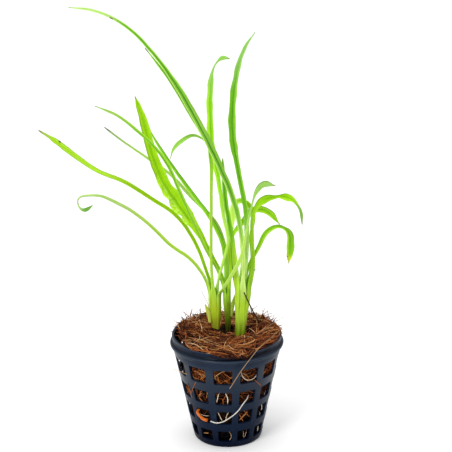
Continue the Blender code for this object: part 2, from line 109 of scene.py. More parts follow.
# Crowns, as in the frame: height, centre x and y, half-width and half-depth from foot to top
CROWNS = {
    "left": [
        (44.0, -5.0, 8.8, 1.3, 1.3), (49.5, -5.0, 8.8, 1.6, 1.6), (54.0, -5.1, 8.6, 2.5, 2.1),
        (59.0, -5.2, 8.4, 3.0, 2.5), (62.3, -5.3, 8.2, 3.2, 2.7), (63.0, -5.3, 8.2, 2.9, 2.4),
    ],
    "middle": [
        (43.0, 0.5, 5.2, 0.9, 0.9), (48.4, 0.6, 5.2, 1.0, 1.0), (54.0, 0.7, 5.4, 1.4, 1.5),
        (59.7, 0.7, 5.9, 1.8, 2.2), (62.4, 0.4, 6.3, 2.1, 2.7), (63.0, 0.4, 6.3, 1.9, 2.4),
    ],
    "right": [
        (42.0, 5.9, -0.8, 2.2, 2.0), (47.6, 6.0, -0.7, 2.4, 2.1), (55.5, 6.5, -0.4, 2.4, 2.3),
        (62.0, 6.9, 0.1, 2.8, 2.8), (68.2, 7.6, 0.7, 3.6, 3.4), (69.0, 7.6, 0.7, 3.3, 3.1),
    ],
}

# Crown colours: low down, body, streaks and stains, and the heights between which low turns into body
CROWN_TINTS = {
    "left": ((0.38, 0.39, 0.022), (0.45, 0.60, 0.018), (0.56, 0.72, 0.07), (0.17, 0.10, 0.018), 49.0, 58.0),
    "middle": (
        (0.020, 0.024, 0.002), (0.17, 0.27, 0.003), (0.27, 0.42, 0.018), (0.03, 0.02, 0.006), 51.0, 62.0),
    "right": ((0.095, 0.155, 0.0), (0.38, 0.60, 0.020), (0.58, 0.80, 0.16), (0.10, 0.08, 0.012), 49.0, 60.0),
}

# How a crown is made: its levels, its sides and ribs, and its dome by share of the width and height above
CROWN_STEPS = 14
CROWN_DOME = [(0.62, 1.5), (0.4, 3.0), (0.2, 4.0)]
CROWN_SIDES = 28
CROWN_RIBS = 5

# Greens for a blade, its margin and its midrib, with the petiole's too in STRAP, and single colours.
# All colours are linear.
FRESH = ((0.25, 0.61, 0.012), (0.43, 0.76, 0.09), (0.11, 0.37, 0.005))
PALE_GREEN = (0.37, 0.66, 0.05)
DEEP = ((0.15, 0.44, 0.01), (0.31, 0.62, 0.05), (0.05, 0.24, 0.003))
STRAP = ((0.17, 0.47, 0.020), (0.50, 0.78, 0.17), (0.025, 0.16, 0.003), (0.62, 0.86, 0.21))
BROWN = (0.10, 0.07, 0.03)
GREY_BROWN = (0.22, 0.22, 0.12)
GREY_GREEN = (0.17, 0.27, 0.07)

# Leaves, by the crown that they grow from. The form is as in the frame: foot, lean, midrib beyond the foot,
# widths seen from the front, and twists. Only the widths of leaf_left_arch, leaf_left_far, leaf_left_curl and
# leaf_middle_back are finer here in places.
# The lean is how far the blade faces away from the front, in degrees. A leaf has turned to it by LEAN_FROM of
# its length, and it fades where the blade twists by up to LEAN_FADE.
# The rest is what the photograph shows. Places are shares of the length, and a side is 1 left of the way the
# leaf grows, -1 right or 0 both.
# colours: blade, margin, midrib and petiole. blade_from: where the petiole turns into blade.
# tip: where the tip starts, and its colour. fade_and_sheen: from where to where the leaf turns to a last
# colour: a real change of colour on some leaves, a painted sheen on the paler upper part of others.
# lit_and_shaded_halves: painted light and shade, how far the left half and the right half go to the margin's
# colour (above 0) or the midrib's (below 0).
# edges: a side's line of colour, from and to. pale: a side's crinkled stretch, paler and with painted
# highlights, from and to.
# ruffles: from, to, height, waves and side. bites: place, side, depth and length of what is missing.
# marks: dark spots by place, side and size.
FACING_FRONT = [(0, 0), (1, 0)]
LEAN_FROM = 0.25
LEAN_FADE = 70.0
BASE_RISE = 2.2
LEAVES = {
    "leaf_left_arch": dict(
        foot=(-5.9, 6.6), lean=20,
        route=[(-6.5, 6.5, 77), (-6.5, 5, 93), (-6, 1, 117.5), (-6.2, -4, 134.5), (-8.4, -8, 142.3),
               (-13, -11, 145.4), (-16.6, -15, 144.9), (-21.9, -19, 140.5), (-22.7, -20, 137.4)],
        widths=[(0, 1.3), (0.5, 1.4), (0.66, 1.6), (0.78, 1.0), (0.92, 1.9), (1, 0.3)],
        turns=[(0, 0), (0.66, 0), (0.76, 62), (0.86, 15), (1, 0)],
        colours=(*FRESH, (0.45, 0.72, 0.06)), blade_from=0.62, tip=(0.995, GREY_BROWN),
        edges=[(-1, (0.31, 0.42, 0.06), 0.1, 0.7)], fade_and_sheen=(0.68, 0.84, (0.28, 0.52, 0.09)),
    ),
    "leaf_left_hooked": dict(
        foot=(-4.4, 8.9), lean=-28,
        route=[(-3.5, 6, 73.5), (-1, 5, 83.5), (1.1, 5.5, 92.3), (-0.5, 8, 101.5), (-3, 13, 119.5),
               (-5.9, 18, 135.5), (-6.4, 20.5, 147.3), (-5.9, 23, 159.5), (-4.3, 24, 168),
               (-2.5, 23.5, 170.8), (-0.3, 22, 172.6), (3, 20, 172.4)],
        widths=[(0, 1.2), (0.2, 1.2), (0.42, 1.8), (0.62, 3.1), (0.82, 2.8), (0.9, 1.9), (0.935, 1.3),
                (0.97, 2.0), (1, 0.3)],
        turns=[(0, 0), (0.85, 0), (0.925, -66), (0.97, 0), (1, 0)],
        colours=((0.27, 0.63, 0.002), (0.44, 0.78, 0.06), (0.13, 0.40, 0.001), (0.53, 0.79, 0.13)),
        blade_from=0.42, tip=(0.995, GREY_GREEN), ruffles=[(0.5, 0.95, 0.25, 5, 0)],
        lit_and_shaded_halves=(0.3, -0.3), fade_and_sheen=(0.76, 0.90, (0.26, 0.49, 0.12)),
    ),
    "leaf_left_far": dict(
        foot=(-6.3, 9.9), lean=32,
        route=[(-9.5, 10.5, 78), (-12.9, 11, 88), (-22.5, 9, 104), (-33.2, 5, 113.2), (-44.9, -1, 123),
               (-54.5, -7, 129), (-63.5, -13, 137.5), (-71.5, -20, 146.5), (-77, -24, 151.5)],
        widths=[(0, 1.4), (0.3, 1.5), (0.7, 1.6), (0.87, 2.1), (0.925, 2.0), (0.955, 1.0), (0.985, 0.8),
                (1, 0.3)],
        colours=((0.46, 0.80, 0.035), (0.27, 0.52, 0.02), (0.36, 0.70, 0.01), (0.31, 0.57, 0.004)),
        blade_from=0.66, tip=(0.988, GREY_BROWN), marks=[(0.905, -1.0, 0.8)],
        ruffles=[(0.75, 0.98, 0.3, 3, 1)], fade_and_sheen=(0.93, 0.98, (0.34, 0.50, 0.10)),
    ),
    "leaf_left_curl": dict(
        foot=(-7.8, 8.0), lean=28,
        route=[(-9.3, 6.5, 73.5), (-14.5, 4, 83), (-24.7, -2, 93.5), (-33, -9, 105), (-46.5, -19, 118.5),
               (-55, -25, 123.4), (-61.6, -29, 122.5), (-59.6, -31, 118.7), (-54.9, -32, 121.1)],
        widths=[(0, 1.3), (0.2, 1.4), (0.7, 1.4), (0.84, 1.3), (0.92, 1.4), (0.96, 2.6), (1, 0.4)],
        turns=[(0, 0), (0.7, 10), (0.89, 66), (0.96, 10), (1, 0)],
        colours=(*FRESH, (0.47, 0.73, 0.07)), blade_from=0.78, tip=(0.945, (0.15, 0.36, 0.05)),
        lit_and_shaded_halves=(-0.3, 0.2), fade_and_sheen=(0.4, 0.7, (0.43, 0.60, 0.20)),
        edges=[(1, GREY_BROWN, 0.82, 0.94), (-1, GREY_BROWN, 0.86, 0.94)],
    ),
    "leaf_left_front": dict(
        foot=(-3.0, 6.9), lean=-22,
        route=[(-1.5, 2.5, 70.2), (3, -3.5, 80), (7, -8, 90), (9, -10, 101), (11.5, -13, 114.5),
               (13.7, -15, 121.7), (16.7, -18, 125.4), (21.5, -21, 125.4)],
        widths=[(0, 1.4), (0.4, 1.6), (0.66, 1.0), (0.78, 1.0), (0.88, 2.7), (0.94, 2.8), (1, 0.3)],
        turns=[(0, 0), (0.6, 0), (0.75, -45), (0.95, -20), (1, -20)],
        colours=((0.30, 0.54, 0.10), (0.40, 0.64, 0.14), (0.22, 0.44, 0.08), (0.50, 0.76, 0.11)),
        blade_from=0.62, tip=(0.990, GREY_BROWN), lit_and_shaded_halves=(0.2, -0.3),
        edges=[(1, (0.12, 0.24, 0.05), 0.74, 0.97)], fade_and_sheen=(0.8, 0.97, (0.24, 0.43, 0.09)),
    ),
    "leaf_middle_broad": dict(
        foot=(-0.6, 6.7), lean=22,
        route=[(-1.4, 9.3, 72.5), (-6.7, 11, 84), (-12.9, 11, 96.1), (-20.9, 9.5, 108.5), (-27.9, 7, 121.5),
               (-32.2, 4, 135.5), (-35.4, 0, 151.5), (-38, -3, 161)],
        widths=[(0, 1.2), (0.25, 2.0), (0.34, 3.4), (0.42, 6.3), (0.5, 6.9), (0.6, 5.2), (0.72, 4.2),
                (0.86, 3.7), (0.95, 2.3), (1, 0.3)],
        colours=((0.36, 0.69, 0.001), (0.48, 0.82, 0.03), (0.20, 0.47, 0.001), (0.34, 0.62, 0.01)),
        blade_from=0.27, tip=(0.992, GREY_BROWN), lit_and_shaded_halves=(0.15, -0.25), pale=[(1, 0.36, 0.6)],
        edges=[(1, (0.20, 0.42, 0.01), 0.62, 0.98)],
        ruffles=[(0.3, 0.72, 0.65, 6, 1), (0.34, 0.9, 0.3, 5, -1)],
        bites=[(0.425, 1, 0.9, 0.03), (0.52, 1, 0.7, 0.025), (0.62, 1, 0.35, 0.03), (0.56, -1, 0.4, 0.04)],
    ),
    "leaf_middle_slender": dict(
        foot=(-0.6, 4.9), lean=34,
        route=[(-2.7, 8.5, 74.6), (-8.9, 8, 87.8), (-14.1, 6, 101.1), (-19.5, 2.5, 115.5), (-25, -3, 131),
               (-30, -7, 139.5), (-38, -10.5, 148.5), (-44.6, -14, 154.9), (-53.5, -20, 160.5)],
        widths=[(0, 1.2), (0.5, 1.4), (0.8, 1.2), (0.93, 1.0), (1, 0.3)],
        colours=(*FRESH, PALE_GREEN), blade_from=0.4, tip=(0.994, GREY_BROWN), lit_and_shaded_halves=(-0.3, 0.3),
        fade_and_sheen=(0.76, 0.93, (0.40, 0.63, 0.13)),
    ),
    "leaf_middle_back": dict(
        foot=(1.1, 7.9), lean=36,
        route=[(0.8, 15.5, 78.8), (-2.9, 18, 94.6), (-16.5, 21, 110), (-24.5, 25, 118), (-34.3, 28, 124.8),
               (-46.7, 30, 133.3), (-55, 31, 139.7)],
        widths=[(0, 1.2), (0.5, 1.4), (0.7, 1.2), (0.85, 0.9), (0.97, 0.8), (1, 0.4)],
        colours=((0.36, 0.57, 0.11), (0.40, 0.62, 0.14), (0.22, 0.40, 0.06), (0.37, 0.57, 0.11)),
        blade_from=0.5, tip=(0.972, (0.17, 0.20, 0.13)), fade_and_sheen=(0.8, 0.96, (0.24, 0.34, 0.14)),
    ),
    "leaf_middle_long": dict(
        foot=(-0.4, 8.5), lean=32,
        route=[(0, 12.5, 78.9), (-1.9, 12.8, 90.6), (-6.6, 13.5, 100.4), (-15.3, 17, 112.2),
               (-25.9, 19.5, 127.3), (-31.9, 20.5, 137.3), (-35.2, 20.5, 144.3)],
        widths=[(0, 1.2), (0.2, 1.9), (0.55, 1.7), (0.85, 1.2), (1, 0.3)],
        colours=(*FRESH, PALE_GREEN), blade_from=0.25, tip=(0.992, GREY_GREEN), lit_and_shaded_halves=(0.2, -0.4),
        edges=[(-1, (0.04, 0.17, 0.01), 0.3, 0.9)],
    ),
    "leaf_middle_right": dict(
        foot=(1.3, 5.2), lean=-26,
        route=[(2, 7.5, 81.5), (1.5, 8, 87), (3.5, 9, 94.5), (8, 11, 99.5), (13, 13, 104.5),
               (18.4, 15, 103.7), (25, 16, 96.5)],
        widths=[(0, 1.2), (0.5, 1.6), (0.72, 2.9), (0.9, 2.7), (1, 0.3)],
        colours=((0.30, 0.63, 0.004), (0.46, 0.78, 0.06), (0.15, 0.42, 0.003), (0.36, 0.64, 0.02)),
        blade_from=0.5, tip=(0.992, GREY_BROWN), edges=[(1, GREY_GREEN, 0.55, 0.97)],
    ),
    "leaf_right_longest": dict(
        foot=(7.4, -1.6), lean=28,
        route=[(8, -2.5, 85), (7.3, -4, 96), (5, -8, 111), (-1.2, -14, 130.5), (-11.4, -19, 154),
               (-26.3, -22, 179.6), (-38.1, -22, 192.8), (-45.9, -21, 197.7), (-54, -19, 200.2),
               (-63, -16, 200.8)],
        widths=[(0, 1.4), (0.3, 2.4), (0.5, 2.8), (0.62, 2.5), (0.73, 1.5), (0.86, 1.2), (0.95, 1.0),
                (1, 0.3)],
        colours=STRAP, blade_from=0.2, tip=(0.996, GREY_GREEN), marks=[(0.883, 0.75, 0.7)],
        bites=[(0.886, 1, 0.4, 0.012)], edges=[(-1, (0.20, 0.33, 0.06), 0.34, 0.62)],
        fade_and_sheen=(0.84, 0.90, (0.47, 0.70, 0.20)),
    ),
    "leaf_right_second": dict(
        foot=(6.2, 1.0), lean=36,
        route=[(7.4, 0, 84), (7, -2, 96), (5.3, -5, 110), (-1, -10, 129.5), (-13.5, -15, 154.5),
               (-23, -17, 171.5), (-32.3, -16, 183.9)],
        widths=[(0, 1.3), (0.5, 1.7), (0.75, 1.5), (0.9, 1.1), (1, 0.3)],
        colours=STRAP, blade_from=0.22, tip=(0.985, BROWN),
    ),
    "leaf_right_short": dict(
        foot=(4.7, -0.9), lean=24,
        route=[(3.9, -2, 84.9), (3, -1.5, 95), (1.5, -1, 104.5), (0, 1, 115.5), (-0.8, 4, 131.2)],
        widths=[(0, 2.6), (0.22, 2.8), (0.4, 2.1), (0.8, 2.0), (0.94, 1.5), (1, 0.5)],
        colours=(*DEEP, (0.43, 0.70, 0.04)), blade_from=0.42, tip=(0.992, GREY_GREEN),
        edges=[(1, (0.06, 0.19, 0.01), 0.05, 0.4)],
    ),
    "leaf_right_tall": dict(
        foot=(7.9, 0.8), lean=-32,
        route=[(9.1, 1.5, 83.6), (9.5, 3, 98.2), (9, 5, 108.5), (6, 10, 124), (3.8, 14, 139.5),
               (4.3, 16, 157), (7.8, 15, 174), (10.3, 13.5, 179.8), (14, 11, 185.5)],
        widths=[(0, 1.5), (0.25, 2.2), (0.45, 2.3), (0.6, 3.5), (0.76, 2.8), (0.9, 1.8), (1, 0.3)],
        colours=(*DEEP, (0.60, 0.84, 0.24)), blade_from=0.27, tip=(0.994, GREY_GREEN),
        ruffles=[(0.45, 0.95, 0.35, 5, 0)], lit_and_shaded_halves=(-0.3, 0.25), fade_and_sheen=(0.72, 0.92, (0.30, 0.55, 0.14)),
    ),
    "leaf_right_wavy": dict(
        foot=(10.7, -0.5), lean=-26,
        route=[(12.2, -1, 82.1), (11.8, -1, 97), (12.4, -2.2, 107.1), (16.4, -6, 114.5), (22.5, -10, 117.3),
               (28.2, -14.2, 117.8), (32.2, -17.5, 113.8), (32.9, -20, 107.6)],
        widths=[(0, 1.9), (0.15, 1.8), (0.5, 1.6), (0.65, 3.3), (0.73, 1.3), (0.8, 3.0), (0.88, 1.8),
                (0.94, 1.7), (1, 0.3)],
        turns=[(0, 0), (0.82, 0), (0.89, -60), (0.95, -10), (1, 0)],
        colours=((0.30, 0.62, 0.002), (0.40, 0.70, 0.03), (0.17, 0.42, 0.001), (0.27, 0.52, 0.020)),
        blade_from=0.55, tip=(0.985, (0.16, 0.15, 0.08)), ruffles=[(0.54, 0.9, 0.8, 4, -1)],
        bites=[(0.74, -1, 0.5, 0.03), (0.64, -1, 0.3, 0.02)], lit_and_shaded_halves=(-0.2, 0.2),
        edges=[(1, (0.12, 0.30, 0.01), 0.5, 0.8)], fade_and_sheen=(0.84, 0.92, (0.17, 0.35, 0.06)),
    ),
    "leaf_right_folded": dict(
        foot=(10.0, 1.6), lean=18,
        route=[(11.8, 3, 83), (11.5, 5, 95), (12.4, 7, 105.2), (10, 8, 109), (6, 8, 110.5), (4, 7, 108.5),
               (3.5, 6, 104), (3.5, 5, 98)],
        widths=[(0, 1.2), (0.5, 1.5), (0.7, 2.4), (0.88, 2.9), (1, 0.3)],
        colours=((0.34, 0.65, 0.015), (0.52, 0.82, 0.09), (0.18, 0.45, 0.005), (0.27, 0.52, 0.02)),
        blade_from=0.5, tip=(0.994, GREY_GREEN), fade_and_sheen=(0.72, 0.86, (0.61, 0.88, 0.14)),
    ),
    "leaf_right_drooping": dict(
        foot=(8.3, 2.9), lean=-26,
        route=[(10, 4.5, 79.5), (14.8, 7, 88.5), (19.1, 11, 94.8), (23.8, 14, 96.2), (28.4, 16, 93.6),
               (30.1, 17, 87.7), (28.9, 15, 77.8)],
        widths=[(0, 1.2), (0.3, 1.6), (0.5, 2.1), (0.64, 1.8), (0.74, 3.2), (0.86, 4.3), (0.93, 3.2),
                (1, 0.3)],
        turns=[(0, 0), (0.56, 0), (0.67, -58), (0.76, -10), (1, 0)],
        colours=((0.30, 0.63, 0.004), (0.46, 0.78, 0.06), (0.07, 0.33, 0.006), (0.36, 0.64, 0.02)),
        blade_from=0.42, tip=(0.985, (0.50, 0.50, 0.28)), ruffles=[(0.5, 0.9, 0.3, 3, 1)],
        lit_and_shaded_halves=(-0.4, 0.2), edges=[(1, GREY_GREEN, 0.55, 0.8), (-1, (0.36, 0.24, 0.03), 0.93, 0.98)],
        marks=[(0.945, -0.8, 0.5), (0.965, -0.6, 0.4)], fade_and_sheen=(0.915, 0.955, (0.66, 0.74, 0.03)),
    ),
}


# How a leaf is made: its grid, how it is rooted in its crown (below the top, share of the way out), how it
# turns and widens past its crown, and how thick and folded it is
LEAF_STEPS = 3
ROW_PITCH = 1.3
LEAF_COLUMNS = 8
ROOT_DEPTH = 17.0
ROOTING = [(ROOT_DEPTH, 0.80), (11.0, 0.90), (5.5, 0.96)]
LEAF_TURN = 12.0
SHEATH_FADE = 9.0
SHEATH_WIDTH = 1.15
SHEATH_TAPER = 0.5
BLADE_EARLY = 0.1
BLADE_EASE = 0.15
THICK_BASE = 0.95
THICK_BLADE = 0.5
THICK_TIP = 0.25
PETIOLE_SHARE = 0.4
MARGIN_THICK = 0.4
FOLD = 0.17
RUFFLE_EASE = 0.08
STUB_THICKNESS = 0.45

# Unevenness of leaves, sheaths and strands: how much, as a share of the width, and the size of its lumps
MARGIN_LUMP, MARGIN_LUMP_SIZE = 0.06, 2.2
BLADE_LUMP, BLADE_LUMP_SIZE = 0.12, 6.0
MIDRIB_LUMP, MIDRIB_LUMP_SIZE = 0.06, 4.0
STUB_LUMP, STUB_LUMP_SIZE = 0.1, 0.8
STRAND_LUMP, STRAND_LUMP_SIZE = 0.14, 1.1

# What turns shares of a leaf's length and width into a dark spot's millimetres
MARK_LENGTHS = 130.0
MARK_WIDTHS = 2.2

# Skins of the sheaths, roots and straws: body, bark and roughness
SKINS = {
    "yellowed_sheath": ((0.62, 0.70, 0.09), (0.42, 0.40, 0.05), 0.45),
    "olive_sheath": ((0.34, 0.47, 0.05), (0.20, 0.20, 0.03), 0.45),
    "white_root": ((0.70, 0.67, 0.60), (0.46, 0.38, 0.26), 0.35),
    "orange_root": ((0.62, 0.135, 0.008), (0.30, 0.05, 0.006), 0.22),
    "straw": ((0.42, 0.27, 0.14), (0.22, 0.12, 0.05), 0.55),
    "dark_straw": ((0.06, 0.03, 0.014), (0.02, 0.01, 0.006), 0.5),
}

# Cut old sheaths beside the crowns: skin, route and widths
STUBS = {
    "stub_left": (
        "yellowed_sheath", [(-7.6, 6.2, 52.5), (-8.4, 6.2, 58), (-9.8, 5.9, 62)],
        [(0, 1.2), (0.6, 2.0), (1, 0.6)]),
    "stub_middle": (
        "olive_sheath", [(2.3, 3.6, 56.5), (2.9, 3.6, 62), (4.0, 3.6, 67.4)],
        [(0, 0.9), (0.6, 1.6), (1, 0.5)]),
}

# Round strands: skin, slot, radius at the start, radius at the end and route
STRANDS = {
    "root_white": (
        "white_root", "pale_root", 0.2, 0.26,
        [(9.4, -17.1, 26.6), (8.6, -19.4, 25.9), (7.3, -20.4, 24.6), (4.5, -20.5, 20.5), (0.7, -20.2, 17),
         (-2.6, -19.6, 14.8), (-5.4, -18.9, 14.1), (-7.8, -18, 14.5)]),
    "root_orange": (
        "orange_root", "orange_root", 0.6, 0.8,
        [(-13, -13.6, 18.3), (-13.7, -15, 17.6), (-12.7, -16.2, 16.6), (-11, -16.9, 15.1),
         (-9.3, -17.8, 14.9)]),
    "straw_front": (
        "straw", "straw", 0.1, 0.15,
        [(27.3, 6, 51.6), (20.5, -8, 51.2), (13.6, -21.5, 50.8), (9.4, -25.8, 47.2), (6.1, -25.2, 42.2),
         (1, -23.5, 33)]),
    "straw_back": ("straw", "straw", 0.1, 0.16, [(27, 14, 52), (20, 5, 51.5), (12, -7, 50.9)]),
    "straw_dark": ("dark_straw", "straw", 0.3, 0.35, [(8, -5.2, 71.4), (11.6, 0.8, 61.1), (15.5, 8, 50.9)]),
}

# The coir's core, dark with painted shade, from the middle of its foot up its side and in over its top
CORE_SIDES = 72
CORE_FOOT_RADII = [3.0, 7.0, 12.0]
CORE_PITCH = 2.0
CORE_LEVELS = 24
CORE_MARGIN = 2.5
CORE_TOP = 49.4
CORE_TOP_RADII = [23.0 - 1.9 * i for i in range(12)]
CORE_SIDE_TOP = 48.6
CORE_FLOOR_RADIUS = 13.5
CORE_INSET = 1.3
CORE_DEPTH = 1.9

# Coir fibres: how each is made, how many, how long and how thin they are in each place, and where they stop
FIBRE_SEED = 5
FIBRE_POINTS = 8
FIBRE_REFERENCE = Vector((0.3, 0.2, 1.0))
FIBRE_END = 0.35
TOP_FIBRES, TOP_LENGTHS = 2300, (7.0, 24.0)
FRONT_FIBRES, FRONT_LENGTHS, FRONT_RADII = 330, (3.0, 9.0), (0.07, 0.16)
SIDE_FIBRES, SIDE_LENGTHS, SIDE_RADII = 2600, (4.0, 12.0), (0.07, 0.17)
FRINGE_FIBRES, FRINGE_LENGTHS, FRINGE_RADII = 460, (2.5, 6.0), (0.07, 0.15)
STANDING_FIBRES, STANDING_RADII = 460, (0.10, 0.18)
TOP_REACH = 24.2
EDGE_HEIGHT = 47.8
MAT_REACH = 24.85
RIM_INSIDE = 22.6
RIM_RADIUS = 25.0
FRINGE_REACH = 26.0
SIDE_FOOT, SIDE_SPAN = 3.0, 40.5
SIDE_LOWEST = 2.2
SIDE_HIGHEST = 46.5

# How light a fibre is: the share of fibres up to each tone, and the tone, from dark to pale
TONES = [(0.29, 0.25), (0.85, 0.55), (1.0, 0.77)]
LIGHTEST = 0.84

# Single fibres that the photograph shows: tone, radius and route
LONG_FIBRES = [
    (0.77, 0.13, [(-20.5, -10, 50.9), (-16.5, -11.5, 51.5), (-12, -11.5, 51.4), (-8.5, -8, 51.3),
                  (-5.5, -7, 51), (-1.5, -12, 51)]),
    (0.73, 0.11, [(-14, 11, 51.2), (-12.5, 6, 51.3), (-10, 1.5, 51), (-6.5, -4.5, 50.9)]),
    (0.76, 0.12, [(-13.5, -10.5, 51), (-12, -16, 51.3), (-9.5, -19.5, 51.4), (-6, -22, 51.3), (-1, -20, 51.4),
                  (2, -13, 51)]),
    (0.82, 0.14, [(1, -7.5, 50.8), (-0.5, -14, 51.4), (-1.5, -20, 51)]),
    (0.84, 0.15, [(0, -16.5, 51.2), (1.5, -20, 51.4), (3, -22, 51)]),
    (0.85, 0.15, [(8, -5, 50.9), (8, -10, 51.3), (7.5, -17, 51)]),
    (0.84, 0.15, [(10, 3, 51), (11, 0.5, 51.5), (13, -3, 51)]),
    (0.79, 0.12, [(14, 12.5, 51.2), (14, 5.5, 51.5), (13.5, -3, 51)]),
    (0.6, 0.15, [(-16, -19, 50.6), (-12, -22, 50.9), (-6.5, -24, 50.8), (-2, -24.2, 50.7)]),
    (0.63, 0.15, [(-18, -14.5, 50.6), (-14.5, -19, 50.9), (-9, -22.5, 50.8), (-4, -23, 50.9)]),
    (0.59, 0.17, [(-13.5, -20.5, 50.6), (-8.5, -23.5, 50.9), (-2.5, -25.2, 50.9), (1, -25.9, 50.2)]),
    (0.66, 0.15, [(12.5, -22, 50.9), (15.5, -18.5, 51.2), (18.5, -13.5, 51.3), (22, -6, 51)]),
    (0.67, 0.17, [(-5.5, -15, 51), (-1, -22, 51.6), (4, -25.4, 51.2), (8.5, -25.6, 50.6)]),
    (0.57, 0.18, [(2.5, -21, 51.4), (7, -19, 51.6), (12, -12.5, 51.4), (16.5, -9, 51.2)]),
    (0.86, 0.14, [(-24.5, -3, 59), (-22.8, -3, 56.4), (-21, -3, 53)]),
    (0.25, 0.2, [(-20.5, 0, 58.5), (-19.6, 0, 56), (-19, 0, 52)]),
    (0.6, 0.12, [(-18.5, 8, 58), (-18, 8, 55.5), (-17.5, 8, 52)]),
    (0.6, 0.1, [(-16, 14, 57), (-15.6, 14, 55), (-15, 14, 51.5)]),
    (0.55, 0.1, [(-12.5, 18, 56), (-12.2, 18, 54), (-12, 18, 51)]),
    (0.5, 0.09, [(-9, 20, 54), (-8.8, 20, 52.5), (-8.5, 20, 50.5)]),
    (0.5, 0.12, [(-11.5, 12, 66.5), (-10.4, 11.5, 64), (-8.5, 11, 60), (-8, 10.5, 53)]),
    (0.5, 0.14, [(18, 14, 56.5), (17.2, 14.4, 54.6), (16, 15, 51)]),
    (0.3, 0.12, [(12.4, -1.3, 80.4), (12.9, -1.5, 80.9), (13.3, -1.5, 80.7), (13.7, -1.4, 81.5)]),
    (0.8, 0.12, [(-25.2, -9.5, 36.9), (-22.5, -11.5, 37), (-19.5, -14, 36.5), (-17, -14.5, 36)]),
    (0.95, 0.22, [(6, -21.6, 40.5), (7, -21.2, 37.5), (9.5, -19.6, 35.2), (12.5, -18, 36),
                  (13.5, -17.6, 39.5)]),
    (0.8, 0.18, [(-6, -21.5, 37.5), (-2.5, -22.4, 40.5), (1, -22.6, 41.5)]),
    (0.96, 0.22, [(-4, -20, 29), (-4.5, -19.6, 26.5), (-5, -18.7, 24)]),
    (0.96, 0.24, [(-1, -20.4, 29.5), (0, -20, 27), (0, -19.2, 23.5)]),
    (0.72, 0.2, [(-12.5, -15, 25), (-11.5, -16.5, 29), (-9.5, -17.8, 29.5), (-9.5, -17, 25.5)]),
    (0.66, 0.2, [(-11, -15.5, 23), (-13, -15, 25.5), (-11, -16.5, 28)]),
    (0.97, 0.16, [(-13, -12.6, 16), (-11, -14, 15.5), (-8.5, -15.5, 16)]),
    (0.93, 0.24, [(-4.5, -17.6, 19), (-3.5, -17.4, 16.5), (-2.5, -16.9, 14)]),
    (0.93, 0.24, [(0.5, -18.2, 19.5), (-0.5, -17.8, 17), (-1, -17, 14)]),
    (0.62, 0.26, [(5, -17.3, 18), (6, -16.5, 15.5), (7, -15.6, 13)]),
    (0.7, 0.26, [(9, -15.5, 18), (7, -16.2, 16), (5, -16.6, 14)]),
    (0.58, 0.26, [(7, -16.8, 19.5), (8.5, -15.7, 17), (10, -14.2, 14.5)]),
    (0.97, 0.22, [(15.5, -9, 18.5), (15.6, -8.4, 17), (15.5, -8, 15)]),
    (0.75, 0.3, [(-11.5, -10, 4.6), (-10.2, -11.4, 5.4), (-9, -12.5, 5.8)]),
    (0.88, 0.18, [(0.5, -15.6, 8.5), (1.5, -15.4, 5.5), (0.5, -14.9, 3)]),
    (0.85, 0.14, [(7, -14.2, 7.5), (7, -13.2, 3.4)]),
    (0.85, 0.14, [(8.5, -13.3, 7.5), (7.5, -13, 3.6)]),
    (0.95, 0.25, [(14, -7, 6.4), (13.5, -7, 3.6)]),
    (0.6, 0.16, [(-18.4, -12.5, 31), (-17, -13.5, 28), (-16, -13.5, 24)]),
    (0.62, 0.16, [(-14, -17.8, 34), (-15.5, -15.8, 30), (-16.5, -13, 25.5)]),
    (0.6, 0.16, [(12, -19.8, 35.5), (14.5, -17.2, 32), (15, -15, 30)]),
]

# The camera that matches the photograph, with its place in metres
CAMERA_PLACE = (0.0003, -0.5353, 0.2710)
CAMERA_PITCH = math.radians(17.6)
CAMERA_ROLL = math.radians(-0.74)
CAMERA_LENS = 100.64
CAMERA_SENSOR = 36.0

# The studio, in metres: each light's place, aim, size and power, the surrounding light and the floor
LIGHTS = {
    "overhead": ((0.0, 0.6, 2.4), (0.0, 0.6, 0.0), 4.5, 80.0),
    "key": ((-0.5, -0.7, 0.7), (0.0, 0.0, 0.08), 0.35, 4.5),
}
WORLD_STRENGTH = 0.55
FLOOR_SIZE = 40.0


def pick(piece):
    """Makes a piece the only one selected, and the active one."""
    bpy.ops.object.select_all(action="DESELECT")
    piece.select_set(True)
    bpy.context.view_layer.objects.active = piece


def add_piece(name, primitive, **settings):
    """Adds a primitive with nothing else selected, and names it."""
    bpy.ops.object.select_all(action="DESELECT")
    primitive(**settings)
    piece = bpy.context.object
    piece.name = name
    piece.data.name = name
    return piece


def modify(piece, kind, **settings):
    """Adds a modifier to a piece and applies it at once."""
    pick(piece)
    modifier = piece.modifiers.new(kind.lower(), kind)
    for name, value in settings.items():
        setattr(modifier, name, value)
    bpy.ops.object.modifier_apply(modifier=modifier.name)


def soften(piece, levels=1):
    modify(piece, "SUBSURF", levels=levels, render_levels=levels)


def settle(piece, material, nodes=(), smooth_angle=None):
    """Brings a piece from millimetres into the frame's metres, finishes it and puts it on its body."""
    pick(piece)
    piece.scale = (MM, MM, MM)
    bpy.ops.object.transform_apply()
    if smooth_angle is None:
        bpy.ops.object.shade_smooth()
    else:
        bpy.ops.object.shade_smooth_by_angle(angle=smooth_angle)
    piece.data.materials.clear()
    piece.data.materials.append(material)
    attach(piece, BODY)
    if nodes:
        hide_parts(*nodes)


def smooth_step(share):
    share = min(max(share, 0.0), 1.0)
    return share * share * (3.0 - 2.0 * share)


def read_profile(pairs, share):
    """Reads (share, value) pairs at a share of the length, easing between them."""
    for (start, low), (end, high) in zip(pairs, pairs[1:]):
        if share <= end:
            return low + (high - low) * smooth_step((share - start) / (end - start))
    return pairs[-1][1]


def heading(points, i):
    """The direction at a point: along the circle through it and its two neighbours, or straight at an end."""
    if i == 0:
        return (points[1] - points[0]).normalized()
    if i == len(points) - 1:
        return (points[i] - points[i - 1]).normalized()
    before = points[i] - points[i - 1]
    after = points[i + 1] - points[i]
    return (before.normalized() * after.length + after.normalized() * before.length).normalized()


